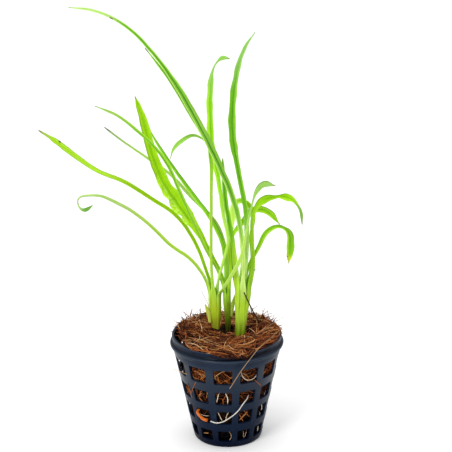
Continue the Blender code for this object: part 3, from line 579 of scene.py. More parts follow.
def smooth_route(points, steps):
    """A smooth curve through the points, read at so many stations from each point to the next."""
    points = [Vector(point) for point in points]
    stations = []
    for i, (here, there) in enumerate(zip(points, points[1:])):
        reach = (there - here).length / 3
        leaving = here + heading(points, i) * reach
        arriving = there - heading(points, i + 1) * reach
        stations += interpolate_bezier(here, leaving, arriving, there, steps + 1)[:-1]
    return [*stations, points[-1]]


def lengths_along(stations):
    """How far along the route each station is."""
    lengths = [0.0]
    for a, b in zip(stations, stations[1:]):
        lengths.append(lengths[-1] + (b - a).length)
    return lengths


def lump(x, y, z, size):
    """A repeatable unevenness between -1 and 1, with lumps of about the given size."""
    return noise.noise(Vector((x, y, z)) / size)


def round_place(reach, angle):
    """The x and y of a place, from how far it is from the pot's middle and its angle round it."""
    return reach * math.cos(angle), reach * math.sin(angle)


# Finishes


class Value:
    """One output socket of a finish, on which Python's operators add Math nodes."""

    def __init__(self, finish, socket):
        self.finish = finish
        self.socket = socket

    def __add__(self, other):
        return self.finish.math("ADD", self, other)

    def __sub__(self, other):
        return self.finish.math("SUBTRACT", self, other)

    def __rsub__(self, other):
        return self.finish.math("SUBTRACT", other, self)

    def __mul__(self, other):
        return self.finish.math("MULTIPLY", self, other)

    def __pow__(self, other):
        return self.finish.math("POWER", self, other)

    def __abs__(self):
        return self.finish.math("ABSOLUTE", self)

    __radd__ = __add__
    __rmul__ = __mul__


class Finish:
    """A material in the making. Its socket constants are given by name and stay on the shader."""

    def __init__(self, name, **constants):
        self.material = bpy.data.materials.new(name)
        self.material.use_nodes = True
        self.tree = self.material.node_tree
        self.shader = self.tree.nodes["Principled BSDF"]
        for socket, value in constants.items():
            self.shader.inputs[socket.replace("_", " ")].default_value = value
        self.place = self.node(
            "ShaderNodeVectorMath", {"operation": "SCALE"},
            {"Vector": self.node("ShaderNodeTexCoord", output="Object"), "Scale": 1.0 / MM})

    def node(self, kind, settings=None, inputs=None, output=0):
        """Adds any node: its settings first, then its sockets' values or links."""
        node = self.tree.nodes.new(kind)
        for name, value in (settings or {}).items():
            if name == "stops":
                self.set_stops(node.color_ramp, value)
            else:
                setattr(node, name, value)
        for name, value in (inputs or {}).items():
            self.feed(node.inputs[name], value)
        return Value(self, node.outputs[output])

    def set_stops(self, ramp, stops):
        while len(ramp.elements) < len(stops):
            ramp.elements.new(1.0)
        for element, (position, colour) in zip(ramp.elements, stops):
            element.position = position
            element.color = (*colour, 1.0)

    def feed(self, socket, value):
        if isinstance(value, Value):
            self.tree.links.new(value.socket, socket)
        elif isinstance(value, tuple) and len(value) == 3 and socket.type == "RGBA":
            socket.default_value = (*value, 1.0)
        else:
            socket.default_value = value

    def math(self, operation, *values):
        return self.node("ShaderNodeMath", {"operation": operation}, dict(enumerate(values)))

    def part(self, vector, axis):
        return self.node("ShaderNodeSeparateXYZ", None, {0: vector}, axis)

    def step(self, value, low, high):
        """Rises smoothly from 0 at low to 1 at high, or falls where low is above high."""
        return self.node(
            "ShaderNodeMapRange", {"interpolation_type": "SMOOTHSTEP"},
            {"Value": value, "From Min": low, "From Max": high})

    def band(self, value, low, full, still, gone):
        """Rises from 0 at low to 1 at full, and falls from 1 at still to 0 at gone."""
        return self.step(value, low, full) * self.step(value, gone, still)

    def mix(self, share, first, second):
        """Mixes two colours."""
        return self.node(
            "ShaderNodeMix", {"data_type": "RGBA"}, {0: share, 6: first, 7: second}, output=2)

    def ramp(self, value, stops):
        return self.node("ShaderNodeValToRGB", {"stops": stops}, {"Fac": value})

    def noise(self, size, detail=2.0, roughness=0.5, place=None, distortion=0.0):
        """Noise between 0 and 1, with blots of about the given size in millimetres."""
        return self.node("ShaderNodeTexNoise", None, {
            "Vector": place or self.place, "Scale": 1.0 / size, "Detail": detail, "Roughness": roughness,
            "Distortion": distortion})

    def stretch(self, place, scale):
        return self.node("ShaderNodeVectorMath", {"operation": "MULTIPLY"}, {0: place, 1: scale})

    def bump(self, height, strength, distance=0.1):
        """Raises the surface by a height, with the distance in millimetres."""
        normal = self.node(
            "ShaderNodeBump", None, {"Height": height, "Strength": strength, "Distance": distance * MM})
        self.feed(self.shader.inputs["Normal"], normal)

    def finish(self, colour, roughness):
        self.feed(self.shader.inputs["Base Color"], colour)
        self.feed(self.shader.inputs["Roughness"], roughness)
        return self.material


def pot_plastic():
    """Slate-blue moulded plastic, satin, with faint scuffs and water marks. Painted shade darkens it towards
    the base, on the collar and in the groove above the bead, and painted highlights run along the lip and the
    bead.
    """
    plastic = Finish("pot_plastic", Specular_IOR_Level=0.05, Coat_Roughness=0.18)
    cloudy = plastic.noise(6.0, 3.0)
    speckled = plastic.noise(0.5, 2.0)
    height = plastic.part(plastic.place, "Z")
    marks = plastic.step(plastic.noise(2.2, 4.0, 0.65, distortion=0.6), 0.58, 0.74)
    # Colour by height: painted shade makes it nearly black towards the base and darker again on the collar
    colour = plastic.ramp((height + (cloudy - 0.5) * 12.0) * (1.0 / POT_HEIGHT), [
        (0.02, (0.0005, 0.0030, 0.015)), (0.30, (0.006, 0.014, 0.034)), (0.62, (0.005, 0.014, 0.032)),
        (0.86, (0.006, 0.016, 0.036)), (0.96, (0.002, 0.008, 0.023))])
    colour = plastic.mix(marks * 0.3, colour, (0.045, 0.058, 0.078))
    # Painted shade: a near-black band in the groove between the bead and the collar
    colour = plastic.mix(plastic.band(height, *GROOVE_SHADE) * 0.85, colour, (0.0005, 0.003, 0.008))
    # Painted highlights: lighter lines along the lip's top edge and along the bead's middle
    edges = plastic.step(height, *LIP_HIGHLIGHT) + plastic.step(abs(height - BEAD_HIGHLIGHT), 0.5, 0.2)
    colour = plastic.mix(edges * 0.35, colour, (0.060, 0.082, 0.11))
    shiny = plastic.step(height, *WALL_SHINE) * (0.4 - 0.26 * plastic.step(height, *COLLAR_DULL))
    plastic.feed(plastic.shader.inputs["Coat Weight"], shiny)
    plastic.bump(speckled * 0.6 + cloudy * 0.8, 0.35, 0.08)
    return plastic.finish(colour, 0.26 + cloudy * 0.16 + marks * 0.16)


def coir_core():
    """The coir's inside as painted shade: near black between the fibres, and bluish black painted shade
    towards the pot's floor.
    """
    coir = Finish("coir_painted_shade", Specular_IOR_Level=0.05)
    fine = coir.noise(0.45, 4.0, 0.65)
    broad = coir.noise(3.0, 2.0)
    colour = coir.ramp(fine * 0.75 + broad * 0.3, [
        (0.36, (0.004, 0.002, 0.0015)), (0.56, (0.022, 0.007, 0.003)), (0.74, (0.07, 0.02, 0.007)),
        (0.92, (0.14, 0.045, 0.014))])
    # Painted shade: bluish black low down towards the pot's floor
    clear_of_floor_shade = coir.step(coir.part(coir.place, "Z") + broad * 6.0, 8.0, 22.0)
    colour = coir.mix(clear_of_floor_shade, (0.0012, 0.0020, 0.0042), colour)
    coir.bump(fine, 0.9, 0.4)
    return coir.finish(colour, 0.85 + fine * 0.1)


def coir_fibre():
    """Coconut fibres, from dark brown through orange to pale, each by its own tone, which also carries
    painted shade.
    """
    coir = Finish("coir_fibre", Specular_IOR_Level=0.12)
    tone = coir.node("ShaderNodeAttribute", {"attribute_name": "tone"}, output="Fac")
    along = coir.noise(0.9, 3.0, 0.6)
    colour = coir.ramp(tone + (along - 0.5) * 0.22, [
        (0.05, (0.004, 0.0015, 0.0015)), (0.26, (0.038, 0.009, 0.005)), (0.46, (0.21, 0.050, 0.014)),
        (0.62, (0.48, 0.138, 0.030)), (0.80, (0.68, 0.37, 0.14)), (0.97, (0.85, 0.76, 0.58))])
    coir.bump(coir.noise(0.12, 2.0), 0.4, 0.03)
    return coir.finish(colour, 0.62 + along * 0.25)


def crown_streaks(finish):
    return finish.noise(0.8, 2.0, 0.5, finish.stretch(finish.place, (1.0, 1.0, 0.07)))


def crown_colour(finish, crown, streaks):
    """A crown's colour by height, browner and darker towards the coir and streaked lengthwise."""
    low, body, streak, stain, rise_from, rise_to = CROWN_TINTS[crown]
    blots = finish.noise(1.6, 3.0, 0.6)
    rise = finish.step(finish.part(finish.place, "Z") + (blots - 0.5) * 5.0, rise_from, rise_to)
    colour = finish.mix(rise, low, body)
    lighter = finish.mix(rise, body, streak)
    colour = finish.mix(finish.step(streaks, 0.40, 0.75) * 0.45, colour, lighter)
    return finish.mix(finish.step(blots, 0.6, 0.74) * (1.0 - rise) * 0.6, colour, stain)


def crown_flesh(crown):
    """Soft leaf bases wrapped round each other."""
    flesh = Finish("crown_" + crown + "_flesh", Specular_IOR_Level=0.1)
    streaks = crown_streaks(flesh)
    flesh.bump(streaks, 0.2, 0.12)
    return flesh.finish(crown_colour(flesh, crown, streaks), 0.36 + streaks * 0.16)


def leaf_skin(name, leaf, start):
    """A leaf's skin: its sheath as the crown, then petiole, a darker midrib that is partly painted shade in
    the fold, a lighter margin that is partly a painted highlight, veins and tip.
    """
    blade, margin, midrib, petiole = leaf["colours"]

    def reach(share):
        return start + share * (1.0 - start)

    skin = Finish(name + "_skin", Specular_IOR_Level=0.08)
    uv = skin.node("ShaderNodeTexCoord", output="UV")
    along = skin.part(uv, "X")
    across = skin.part(uv, "Y")
    left = across * 2.0 - 1.0
    side = abs(left)
    blots = skin.noise(2.4, 3.0, 0.55)
    lines = skin.noise(1.0, 2.0, 0.6, skin.stretch(uv, (6.0, 11.0, 1.0)))
    veins = skin.math("SINE", across * 58.0 + (lines - 0.5) * 5.0)
    uneven = (blots - 0.5) * 0.35
    blade_from = reach(leaf["blade_from"])
    ribbed = skin.step(along, blade_from - 0.02, blade_from + 0.16)
    # Darker midrib strip: its own colour and painted shade in the fold
    colour = skin.mix((1.0 - skin.step(side + uneven * 0.5, 0.02, 0.42)) * ribbed, blade, midrib)
    # Lighter margins: their own colour and a painted highlight
    colour = skin.mix(skin.step(side + uneven * 0.6, 0.58, 0.94) * 0.9, colour, margin)
    colour = skin.mix(skin.step(lines, 0.50, 0.72) * 0.5, colour, margin)
    colour = skin.mix(skin.step(lines, 0.46, 0.28) * 0.28, colour, midrib)
    darker_petiole = tuple(0.8 * part for part in petiole)
    stalk = skin.mix(skin.step(side + uneven, 0.05, 0.75), darker_petiole, petiole)
    stalk = skin.mix(skin.step(lines, 0.50, 0.25) * 0.3, stalk, blade)
    grown = skin.step(along + uneven * 0.06, blade_from - 0.12, blade_from + 0.06)
    colour = skin.mix(grown, stalk, colour)
    # Painted light and shade: one half of the blade lighter, the other darker
    for toward, amount in zip((1.0, -1.0), leaf.get("lit_and_shaded_halves", ())):
        shade = margin if amount > 0 else midrib
        colour = skin.mix(skin.step(left * toward + uneven * 0.3, -0.05, 0.5) * abs(amount), colour, shade)
    # A real change of colour towards the end, and on some leaves a paler painted sheen on the upper part
    if "fade_and_sheen" in leaf:
        fade_from, fade_to, last_colour = leaf["fade_and_sheen"]
        faded = skin.step(along + uneven * 0.05, reach(fade_from), reach(fade_to))
        colour = skin.mix(faded * (0.55 + 0.35 * side), colour, last_colour)
    for which, edge_colour, edge_from, edge_to in leaf.get("edges", ()):
        first, last = reach(edge_from), reach(edge_to)
        here = skin.band(along, first - 0.03, first + 0.03, last - 0.03, last + 0.03)
        line = skin.step(left * which + uneven * 0.4, 0.60, 0.86)
        colour = skin.mix(here * line * 0.85, colour, edge_colour)
    for which, pale_from, pale_to in leaf.get("pale", ()):
        first, last = reach(pale_from), reach(pale_to)
        here = skin.band(along, first - 0.02, first + 0.03, last - 0.03, last + 0.03)
        crinkles = skin.step(skin.noise(1.3, 2.0, 0.6), 0.42, 0.62)
        here = here * crinkles * skin.step(left * which, 0.05, 0.55)
        # Paler crinkles along the margin, with painted highlights on them
        colour = skin.mix(here * 0.6, colour, (0.68, 0.92, 0.20))
    crown = crown_of(name)
    top = crown_top(crown)
    sheath = crown_colour(skin, crown, crown_streaks(skin))
    colour = skin.mix(skin.step(skin.part(skin.place, "Z"), top - 6.0, top + 7.0), sheath, colour)
    tip_share, tip_colour = leaf["tip"]
    tipped = skin.step(along + uneven * 0.01, reach(tip_share) - 0.014, reach(tip_share) + 0.008)
    colour = skin.mix(tipped, colour, tip_colour)
    for share, which, size in leaf.get("marks", ()):
        far = (along - reach(share)) * (MARK_LENGTHS / size)
        wide = (across - (0.5 + 0.5 * which)) * (MARK_WIDTHS / size)
        colour = skin.mix(skin.step(far ** 2.0 + wide ** 2.0, 1.2, 0.2), colour, BROWN)
    skin.bump(veins * 0.12 + lines * 0.4 + skin.step(side, 0.0, 0.2) * 0.5, 0.25, 0.12)
    return skin.finish(colour, 0.34 + blots * 0.2 + tipped * 0.25)


def strand_skin(name, body, bark, roughness):
    """A root, straw or old sheath: even colour, broken by a darker bark in places."""
    strand = Finish(name + "_skin", Specular_IOR_Level=0.22)
    blots = strand.noise(1.3, 4.0, 0.65)
    fine = strand.noise(0.3, 3.0)
    colour = strand.mix(strand.step(blots, 0.52, 0.72) * 0.8, body, bark)
    colour = strand.mix(fine * 0.25, colour, bark)
    strand.bump(fine + blots * 0.6, 0.5, 0.12)
    return strand.finish(colour, roughness + blots * 0.2)


# The pot


def wall_radius(height):
    return BASE_RADIUS + (WALL_TOP_RADIUS - BASE_RADIUS) * height / WALL_TOP


def round_sheet(name, sides, rings, turn=0.0, closed=False):
    """A round sheet from its middle out and up, its first ring filled and each next ring extruded.

    A closed one is drawn together at its last ring.
    """
    piece = add_piece(
        name, bpy.ops.mesh.primitive_circle_add, vertices=sides, radius=rings[0][0], fill_type="TRIFAN",
        location=(0.0, 0.0, rings[0][1]), rotation=(0.0, 0.0, turn))
    bpy.ops.object.transform_apply()
    bpy.ops.object.mode_set(mode="EDIT")
    bpy.ops.mesh.select_all(action="SELECT")
    bpy.ops.mesh.region_to_loop()
    for (radius, height), (next_radius, next_height) in zip(rings, rings[1:]):
        bpy.ops.mesh.extrude_edges_move(
            TRANSFORM_OT_translate={"value": (0.0, 0.0, next_height - height), "orient_type": "GLOBAL"})
        share = next_radius / radius
        bpy.ops.transform.resize(
            value=(share, share, 1.0), orient_type="GLOBAL", center_override=(0.0, 0.0, next_height))
    if closed:
        bpy.ops.mesh.select_all(action="DESELECT")
        bpy.ops.mesh.select_non_manifold()
        bpy.ops.mesh.merge(type="CENTER")
    bpy.ops.mesh.select_all(action="SELECT")
    bpy.ops.mesh.normals_make_consistent(inside=False)
    bpy.ops.object.mode_set(mode="OBJECT")
    return piece


def is_open(centre):
    """Whether a face of the pot lies in a window or in a slot of the floor."""
    side = (math.atan2(centre.y, centre.x) - WINDOW_CENTRE + WINDOW_ANGLE / 2) / math.tau * POT_SIDES
    if centre.z > FLOOR:
        in_row = any(low < centre.z < high for low, high in WINDOW_ROWS)
        return in_row and side % COLUMN_SIDES < WINDOW_SIDES
    in_ring = SLOT_INNER < math.hypot(centre.x, centre.y) < SLOT_OUTER
    return in_ring and side % SLOT_PITCH < SLOT_SIDES


def build_pot():
    rings = [(SLOT_INNER, 0.0), *FLOOR_RINGS]
    for low, high in WINDOW_ROWS:
        for height in (low - CORNER_OUT, low, low + CORNER_IN, high - CORNER_IN, high, high + CORNER_OUT):
            rings.append((wall_radius(height), height))
    pot = round_sheet("pot", POT_SIDES, [*rings, *RIM_RINGS], POT_TURN)
    bpy.ops.object.mode_set(mode="EDIT")
    bpy.ops.mesh.select_all(action="DESELECT")
    bpy.ops.mesh.select_mode(type="FACE")
    shape = bmesh.from_edit_mesh(pot.data)
    for face in shape.faces:
        face.select_set(is_open(face.calc_center_median()))
    bmesh.update_edit_mesh(pot.data)
    bpy.ops.mesh.delete(type="FACE")
    bpy.ops.object.mode_set(mode="OBJECT")
    modify(pot, "SOLIDIFY", thickness=WALL, offset=-1.0, use_even_offset=True,
           edge_crease_inner=WINDOW_CREASE, edge_crease_outer=WINDOW_CREASE)
    soften(pot)
    settle(pot, pot_plastic(), ["net_pot"], POT_SMOOTH)


# The coir


def shortness(angle):
    """How much of the gap between the plug and the wall there is on this side."""
    return smooth_step(1.0 - abs(math.remainder(angle - SHORT_ANGLE, math.tau)) / SHORT_SPREAD)


def coir_radius(angle, height):
    """The plug nearly fills the wall's inside, and stops short of it near the top at the left."""
    radius = wall_radius(height) - WALL - COIR_CLEARANCE
    unevenness = lump(*round_place(radius, angle), height, COIR_SIDE_LUMP_SIZE)
    radius -= COIR_SIDE_LUMP * (0.5 + 0.5 * unevenness)
    return radius - SHORT_DEPTH * shortness(angle) * smooth_step((height - SHORT_FROM) / SHORT_RISE)


def coir_height(x, y):
    """The top is rough, and dips around the three crowns."""
    place = Vector((x, y)) - DIP_CENTRE
    reach = math.hypot(place.dot(DIP_ALONG) * DIP_STRETCH, place.cross(DIP_ALONG))
    dip = DIP_DEPTH * smooth_step(1.0 - reach / DIP_RADIUS)
    return COIR_TOP - dip + COIR_TOP_LUMP * lump(x, y, COIR_TOP, COIR_TOP_LUMP_SIZE)


def build_core():
    """The plug's inside, which the fibres lie on, dark with painted shade."""
    foot = FLOOR + GAP
    heights = [foot + CORE_PITCH * i for i in range(CORE_LEVELS)]
    side = [(wall_radius(height) - CORE_MARGIN, height) for height in heights]
    top = [(radius, CORE_TOP) for radius in CORE_TOP_RADII]
    rings = [(radius, foot) for radius in CORE_FOOT_RADII] + side + top
    core = round_sheet("coir_core", CORE_SIDES, rings, closed=True)
    soften(core)
    for vertex in core.data.vertices:
        x, y, z = vertex.co
        reach = math.hypot(x, y)
        angle = math.atan2(y, x)
        if z > CORE_SIDE_TOP:
            share = min(1.0, (coir_radius(angle, EDGE_HEIGHT) - CORE_INSET) / max(reach, 0.01))
            x, y = x * share, y * share
            vertex.co = (x, y, coir_height(x, y) - CORE_DEPTH + 0.7 * lump(x, y, 3.0, 1.4))
        elif reach > CORE_FLOOR_RADIUS:
            radius = coir_radius(angle, z) - CORE_INSET + 0.55 * lump(x, y, z, 1.8)
            vertex.co = (*round_place(radius, angle), z)
    settle(core, coir_core(), ["coir_plug"])


def near_crown(x, y):
    """Whether a place on the coir's top is inside a crown's foot."""
    for levels in CROWNS.values():
        centre_x, centre_y, half_width, half_depth = levels[1][1:]
        if math.hypot((x - centre_x) / half_width, (y - centre_y) / half_depth) < 0.9:
            return True
    return False


def rim_limit(x, y):
    """How far from the middle the top's fibres reach: over the rim only along its front."""
    angle = math.atan2(y, x)
    inside = coir_radius(angle, EDGE_HEIGHT) + 0.7 - SHORT_MORE * shortness(angle)
    outside = MAT_REACH + 0.3 * lump(x, 5.0, 2.0, 1.5)
    front = smooth_step((-y - 12.0) / 8.0) * smooth_step((x + 21.0) / 5.0)
    bulge = smooth_step((x + 11.0) / 9.0) * smooth_step((17.0 - x) / 9.0)
    return inside + (outside - inside + (0.7 + 0.5 * lump(x, 0.0, 2.0, 1.3)) * bulge) * front


def shade_at(point):
    """What is left of a fibre's tone at a place: little in the hollows round the crowns."""
    shade = 0.0
    for x, y, radius in HOLLOWS:
        shade = max(shade, smooth_step(2.0 - 2.0 * math.hypot(point.x - x, point.y - y) / radius))
    return 1.0 - HOLLOW_SHADE * shade * smooth_step(HOLLOW_TOP - point.z)


def drape(x, y, lift):
    """Where a fibre of the top lies: on the plug, or over the rim's front edge where it stands past it."""
    limit = rim_limit(x, y)
    reach = math.hypot(x, y)
    if reach > limit:
        x, y, reach = x * limit / reach, y * limit / reach, limit
    over_rim = smooth_step((reach - RIM_INSIDE) / 2.0)
    height = coir_height(x, y) * (1.0 - over_rim) + (POT_HEIGHT + GAP) * over_rim + lift
    past = reach - RIM_RADIUS
    if past > 0.0:
        height -= 1.6 * past ** 2 + 1.2 * past
    return Vector((x, y, height))


def fibre_tone(chance, place, depth):
    """How light a fibre is: dark, middling or pale, in patches, and darker with painted shade the deeper it
    lies.
    """
    kind = chance.random()
    tone = next(tone for share, tone in TONES if kind < share)
    tone += 0.34 * lump(*place, 2.3) + 0.26 * lump(place.x, place.y, 30.0, 6.5)
    tone += 0.013 * max(place.y, 0.0) + chance.gauss(0.0, 0.06)
    # Painted shade: the deeper a fibre lies in the tangle, the darker it is
    return min(tone, LIGHTEST) * (0.18 + 0.82 * depth)


def arch_at(i):
    """How high an arch of 1 stands at a fibre's point."""
    return math.sin(math.pi * (i / (FIBRE_POINTS - 1)))


def lay_over(chance, x, y, going, pace, bend, wander, lift, arch=0.0):
    """The points of a fibre that winds over the top from a place, raised by a lift and an arch."""
    points = []
    for i in range(FIBRE_POINTS):
        points.append(drape(x, y, lift + arch * arch_at(i)))
        going += bend * pace + chance.gauss(0.0, wander)
        x += pace * math.cos(going)
        y += pace * math.sin(going)
    return points


def top_fibre(chance):
    """A fibre in the tangle on the plug's top, most of them lying round it."""
    reach = TOP_REACH * math.sqrt(chance.random())
    angle = chance.uniform(0.0, math.tau)
    x, y = round_place(reach, angle)
    going = angle + math.pi / 2 + chance.gauss(0.0, 0.8)
    pace = chance.uniform(*TOP_LENGTHS) / FIBRE_POINTS
    bend = 0.045 + chance.gauss(0.0, 0.10)
    hollow = smooth_step((-0.05 - lump(x, y, 9.0, 4.5)) / 0.2)
    lift = chance.uniform(-1.5, 0.9) - 1.2 * hollow
    arch = 1.3 * chance.random() ** 2
    points = lay_over(chance, x, y, going, pace, bend, 0.14, lift, arch)
    depth = smooth_step((lift + arch + 1.5) / 2.6)
    return fibre_tone(chance, points[3], depth), 0.06 + 0.17 * chance.random() ** 2, points


def front_fibre(chance):
    """A fibre of the mat that hangs over the rim's front."""
    x = chance.uniform(-17.0, 14.0)
    y = -math.sqrt(max(0.0, chance.uniform(22.0, 26.2) ** 2 - x * x))
    going = chance.gauss(0.1, 0.6) + (math.pi if chance.random() < 0.5 else 0.0)
    pace = chance.uniform(*FRONT_LENGTHS) / FIBRE_POINTS
    bend = chance.gauss(0.0, 0.2)
    lift = chance.uniform(-0.2, 0.8)
    points = lay_over(chance, x, y, going, pace, bend, 0.2, lift)
    return fibre_tone(chance, points[3], chance.random()), chance.uniform(*FRONT_RADII), points


def fringe_fibre(chance):
    """A fibre that leaves the top at its edge, a little over the rim and up, at the back and sides."""
    angle = math.radians(chance.uniform(-35.0, 170.0))
    x, y = round_place(chance.uniform(19.0, 23.0), angle)
    going = angle + chance.gauss(0.0, 1.0)
    pace = chance.uniform(*FRINGE_LENGTHS) / FIBRE_POINTS
    rise = chance.uniform(-0.05, 0.45)
    point = drape(x, y, chance.uniform(-0.6, 0.6))
    points = []
    for i in range(FIBRE_POINTS):
        points.append(point.copy())
        going += chance.gauss(0.0, 0.16)
        step = Vector((math.cos(going), math.sin(going), rise)) * pace
        if math.hypot(point.x + step.x, point.y + step.y) > FRINGE_REACH:
            step = Vector((0.0, 0.0, 0.4 * pace))
        point = point + step
        rise -= 0.03
    return 0.26 + 0.34 * chance.random(), chance.uniform(*FRINGE_RADII), points


def side_fibre(chance):
    """A fibre in the plug's side, seen through the windows: dense and orange high up, dark with painted shade
    low down and deep inside.
    """
    height = SIDE_FOOT + SIDE_SPAN * chance.random() ** 0.62
    angle = chance.uniform(0.0, math.tau)
    going = chance.gauss(0.0, 0.75)
    pace = chance.uniform(*SIDE_LENGTHS) / FIBRE_POINTS
    bend = chance.gauss(0.0, 0.16)
    depth = chance.random()
    shallow = smooth_step((height - 6.0) / 30.0)
    points = []
    for i in range(FIBRE_POINTS):
        height = min(max(height, SIDE_LOWEST), SIDE_HIGHEST)
        inner_wall = wall_radius(height) - WALL - 0.15
        radius = min(coir_radius(angle, height) - 0.9 + 1.2 * depth + 0.35 * arch_at(i), inner_wall)
        points.append(Vector((*round_place(radius, angle), height)))
        going += bend * pace + chance.gauss(0.0, 0.18)
        angle += pace * math.cos(going) / radius
        height += pace * math.sin(going)
    # Painted shade: darker low down in the pot and deeper inside the plug
    tone = fibre_tone(chance, points[3], 0.25 + 0.75 * depth) * (0.22 + 0.78 * shallow)
    tone = min(tone + 0.14 * smooth_step((points[3].z - 31.0) / 4.0), 0.74)
    return tone, chance.uniform(*SIDE_RADII), points


def standing_fibre(chance):
    """A hair that stands up from the top's edge, most of them at the back and left."""
    at_back = chance.random() < 0.8
    angle = math.radians(chance.uniform(20.0, 205.0)) if at_back else chance.uniform(0.0, math.tau)
    reach = (coir_radius(angle, EDGE_HEIGHT) + 0.4) * math.sqrt(chance.uniform(0.45, 1.0))
    x, y = round_place(reach, angle)
    lean = Vector((chance.gauss(0.0, 0.55), chance.gauss(0.0, 0.55), 1.0)).normalized()
    pace = (2.2 + 6.5 * chance.random() ** 2) / FIBRE_POINTS
    sag = Vector((chance.gauss(0.0, 0.12), chance.gauss(0.0, 0.12), chance.uniform(-0.16, 0.02)))
    point = Vector((x, y, coir_height(x, y) - 0.6))
    points = []
    for i in range(FIBRE_POINTS):
        points.append(point.copy())
        lean = (lean + sag).normalized()
        point = point + lean * pace
    return 0.20 + 0.30 * chance.random(), chance.uniform(*STANDING_RADII), points


def twine(name, fibres, material):
    """Joins fibres, each a tone, a radius and points, into one mesh of thin three-sided tubes."""
    vertices, faces, tones = [], [], []
    for tone, radius, points in fibres:
        last = len(points) - 1
        for i, point in enumerate(points):
            direction = (points[min(i + 1, last)] - points[max(i - 1, 0)]).normalized()
            across = direction.cross(FIBRE_REFERENCE).normalized()
            up = direction.cross(across)
            thin = radius * (FIBRE_END if i in (0, last) else 1.0)
            first = len(vertices)
            for k in range(3):
                turn = math.tau * k / 3
                vertices.append(point + across * (thin * math.cos(turn)) + up * (thin * math.sin(turn)))
            if i == 0:
                faces.append((first + 2, first + 1, first))
            else:
                for k in range(3):
                    following = (k + 1) % 3
                    faces.append((first - 3 + k, first - 3 + following, first + following, first + k))
            if i == last:
                faces.append((first, first + 1, first + 2))
            tones += [tone * shade_at(point)] * 3
    mesh = bpy.data.meshes.new(name)
    mesh.from_pydata(vertices, [], faces)
    mesh.attributes.new("tone", "FLOAT", "POINT").data.foreach_set("value", tones)
    piece = bpy.data.objects.new(name, mesh)
    bpy.context.scene.collection.objects.link(piece)
    settle(piece, material)


def build_fibres():
    """All the fibres, drawn by chance in this order, and the ones that the photograph shows singly."""
    chance = random.Random(FIBRE_SEED)
    fibre = coir_fibre()
    top = []
    while len(top) < TOP_FIBRES:
        tone, radius, points = top_fibre(chance)
        if not any(near_crown(point.x, point.y) for point in points):
            top.append((tone, radius, points))
    twine("coir_top", top + [front_fibre(chance) for i in range(FRONT_FIBRES)], fibre)
    twine("coir_side", [side_fibre(chance) for i in range(SIDE_FIBRES)], fibre)
    loose = [(tone, radius, smooth_route(route, 4)) for tone, radius, route in LONG_FIBRES]
    loose += [fringe_fibre(chance) for i in range(FRINGE_FIBRES)]
    twine("coir_loose", loose + [standing_fibre(chance) for i in range(STANDING_FIBRES)], fibre)


# The plant


def crown_of(leaf_name):
    return leaf_name.split("_")[1]


def crown_top(crown):
    return CROWNS[crown][-1][0]


def crown_at(crown, height):
    """A crown's centre and half-widths at a height."""
    levels = CROWNS[crown]
    for low, high in zip(levels, levels[1:]):
        if height <= high[0]:
            share = min(max((height - low[0]) / (high[0] - low[0]), 0.0), 1.0)
            return [a + (b - a) * share for a, b in zip(low[1:], high[1:])]
    return list(levels[-1][1:])


def build_crown(crown):
    """A crown's heart: a ribbed stem base that narrows and closes in a soft dome between its leaves."""
    foot, top = CROWNS[crown][0][0], CROWNS[crown][-2][0]
    heights = [foot + (top - foot) * i / CROWN_STEPS for i in range(CROWN_STEPS + 1)]
    rings = [(1.0 - 0.24 * smooth_step((height - top + 8.0) / 8.0), height) for height in heights]
    rings += [(share, top + above) for share, above in CROWN_DOME]
    piece = round_sheet(crown + "_crown", CROWN_SIDES, rings, closed=True)
    for vertex in piece.data.vertices:
        x, y, z = vertex.co
        centre_x, centre_y, half_width, half_depth = crown_at(crown, min(z, top))
        angle = math.atan2(y, x)
        rib = 1.0 + 0.07 * math.cos(CROWN_RIBS * angle + z * 0.09)
        rib += 0.05 * lump(3.0 * angle, z * 0.3, 1.0, 1.0)
        vertex.co = (centre_x + x * half_width * rib, centre_y + y * half_depth * rib, z)
    soften(piece, 2)
    settle(piece, crown_flesh(crown), ["crown_" + crown])


def leaf_thickness(share):
    if share < PETIOLE_SHARE:
        return THICK_BASE + (THICK_BLADE - THICK_BASE) * smooth_step(share / PETIOLE_SHARE)
    return THICK_BLADE + (THICK_TIP - THICK_BLADE) * (share - PETIOLE_SHARE) / (1.0 - PETIOLE_SHARE)


def rooted_route(crown, leaf):
    """A leaf's route inside its crown, then from its foot through its midrib, and the way it faces out."""
    top = crown_top(crown)
    foot_x, foot_y = leaf["foot"]
    centre_x, centre_y, half_width, half_depth = crown_at(crown, top)
    out_x, out_y = (foot_x - centre_x) / half_width, (foot_y - centre_y) / half_depth
    base = []
    for below, spread in ROOTING:
        low_x, low_y, low_width, low_depth = crown_at(crown, top - below)
        base.append((low_x + out_x * low_width * spread, low_y + out_y * low_depth * spread, top - below))
    foot = [(foot_x, foot_y, top + GAP), (foot_x, foot_y, top + GAP + BASE_RISE)]
    return base, [*foot, *leaf["route"]], math.atan2(foot_x - centre_x, -(foot_y - centre_y))


def grid_leaf(name, length):
    """A flat grid along X from 0 to the length, and from -1 to 1 across."""
    leaf = add_piece(
        name, bpy.ops.mesh.primitive_grid_add, x_subdivisions=max(16, round(length / ROW_PITCH)),
        y_subdivisions=LEAF_COLUMNS, size=2.0)
    bpy.ops.object.mode_set(mode="EDIT")
    bpy.ops.mesh.select_all(action="SELECT")
    bpy.ops.transform.translate(value=(1.0, 0.0, 0.0), orient_type="GLOBAL")
    bpy.ops.transform.resize(
        value=(length / 2, 1.0, 1.0), orient_type="GLOBAL", center_override=(0.0, 0.0, 0.0))
    bpy.ops.object.mode_set(mode="OBJECT")
    return leaf


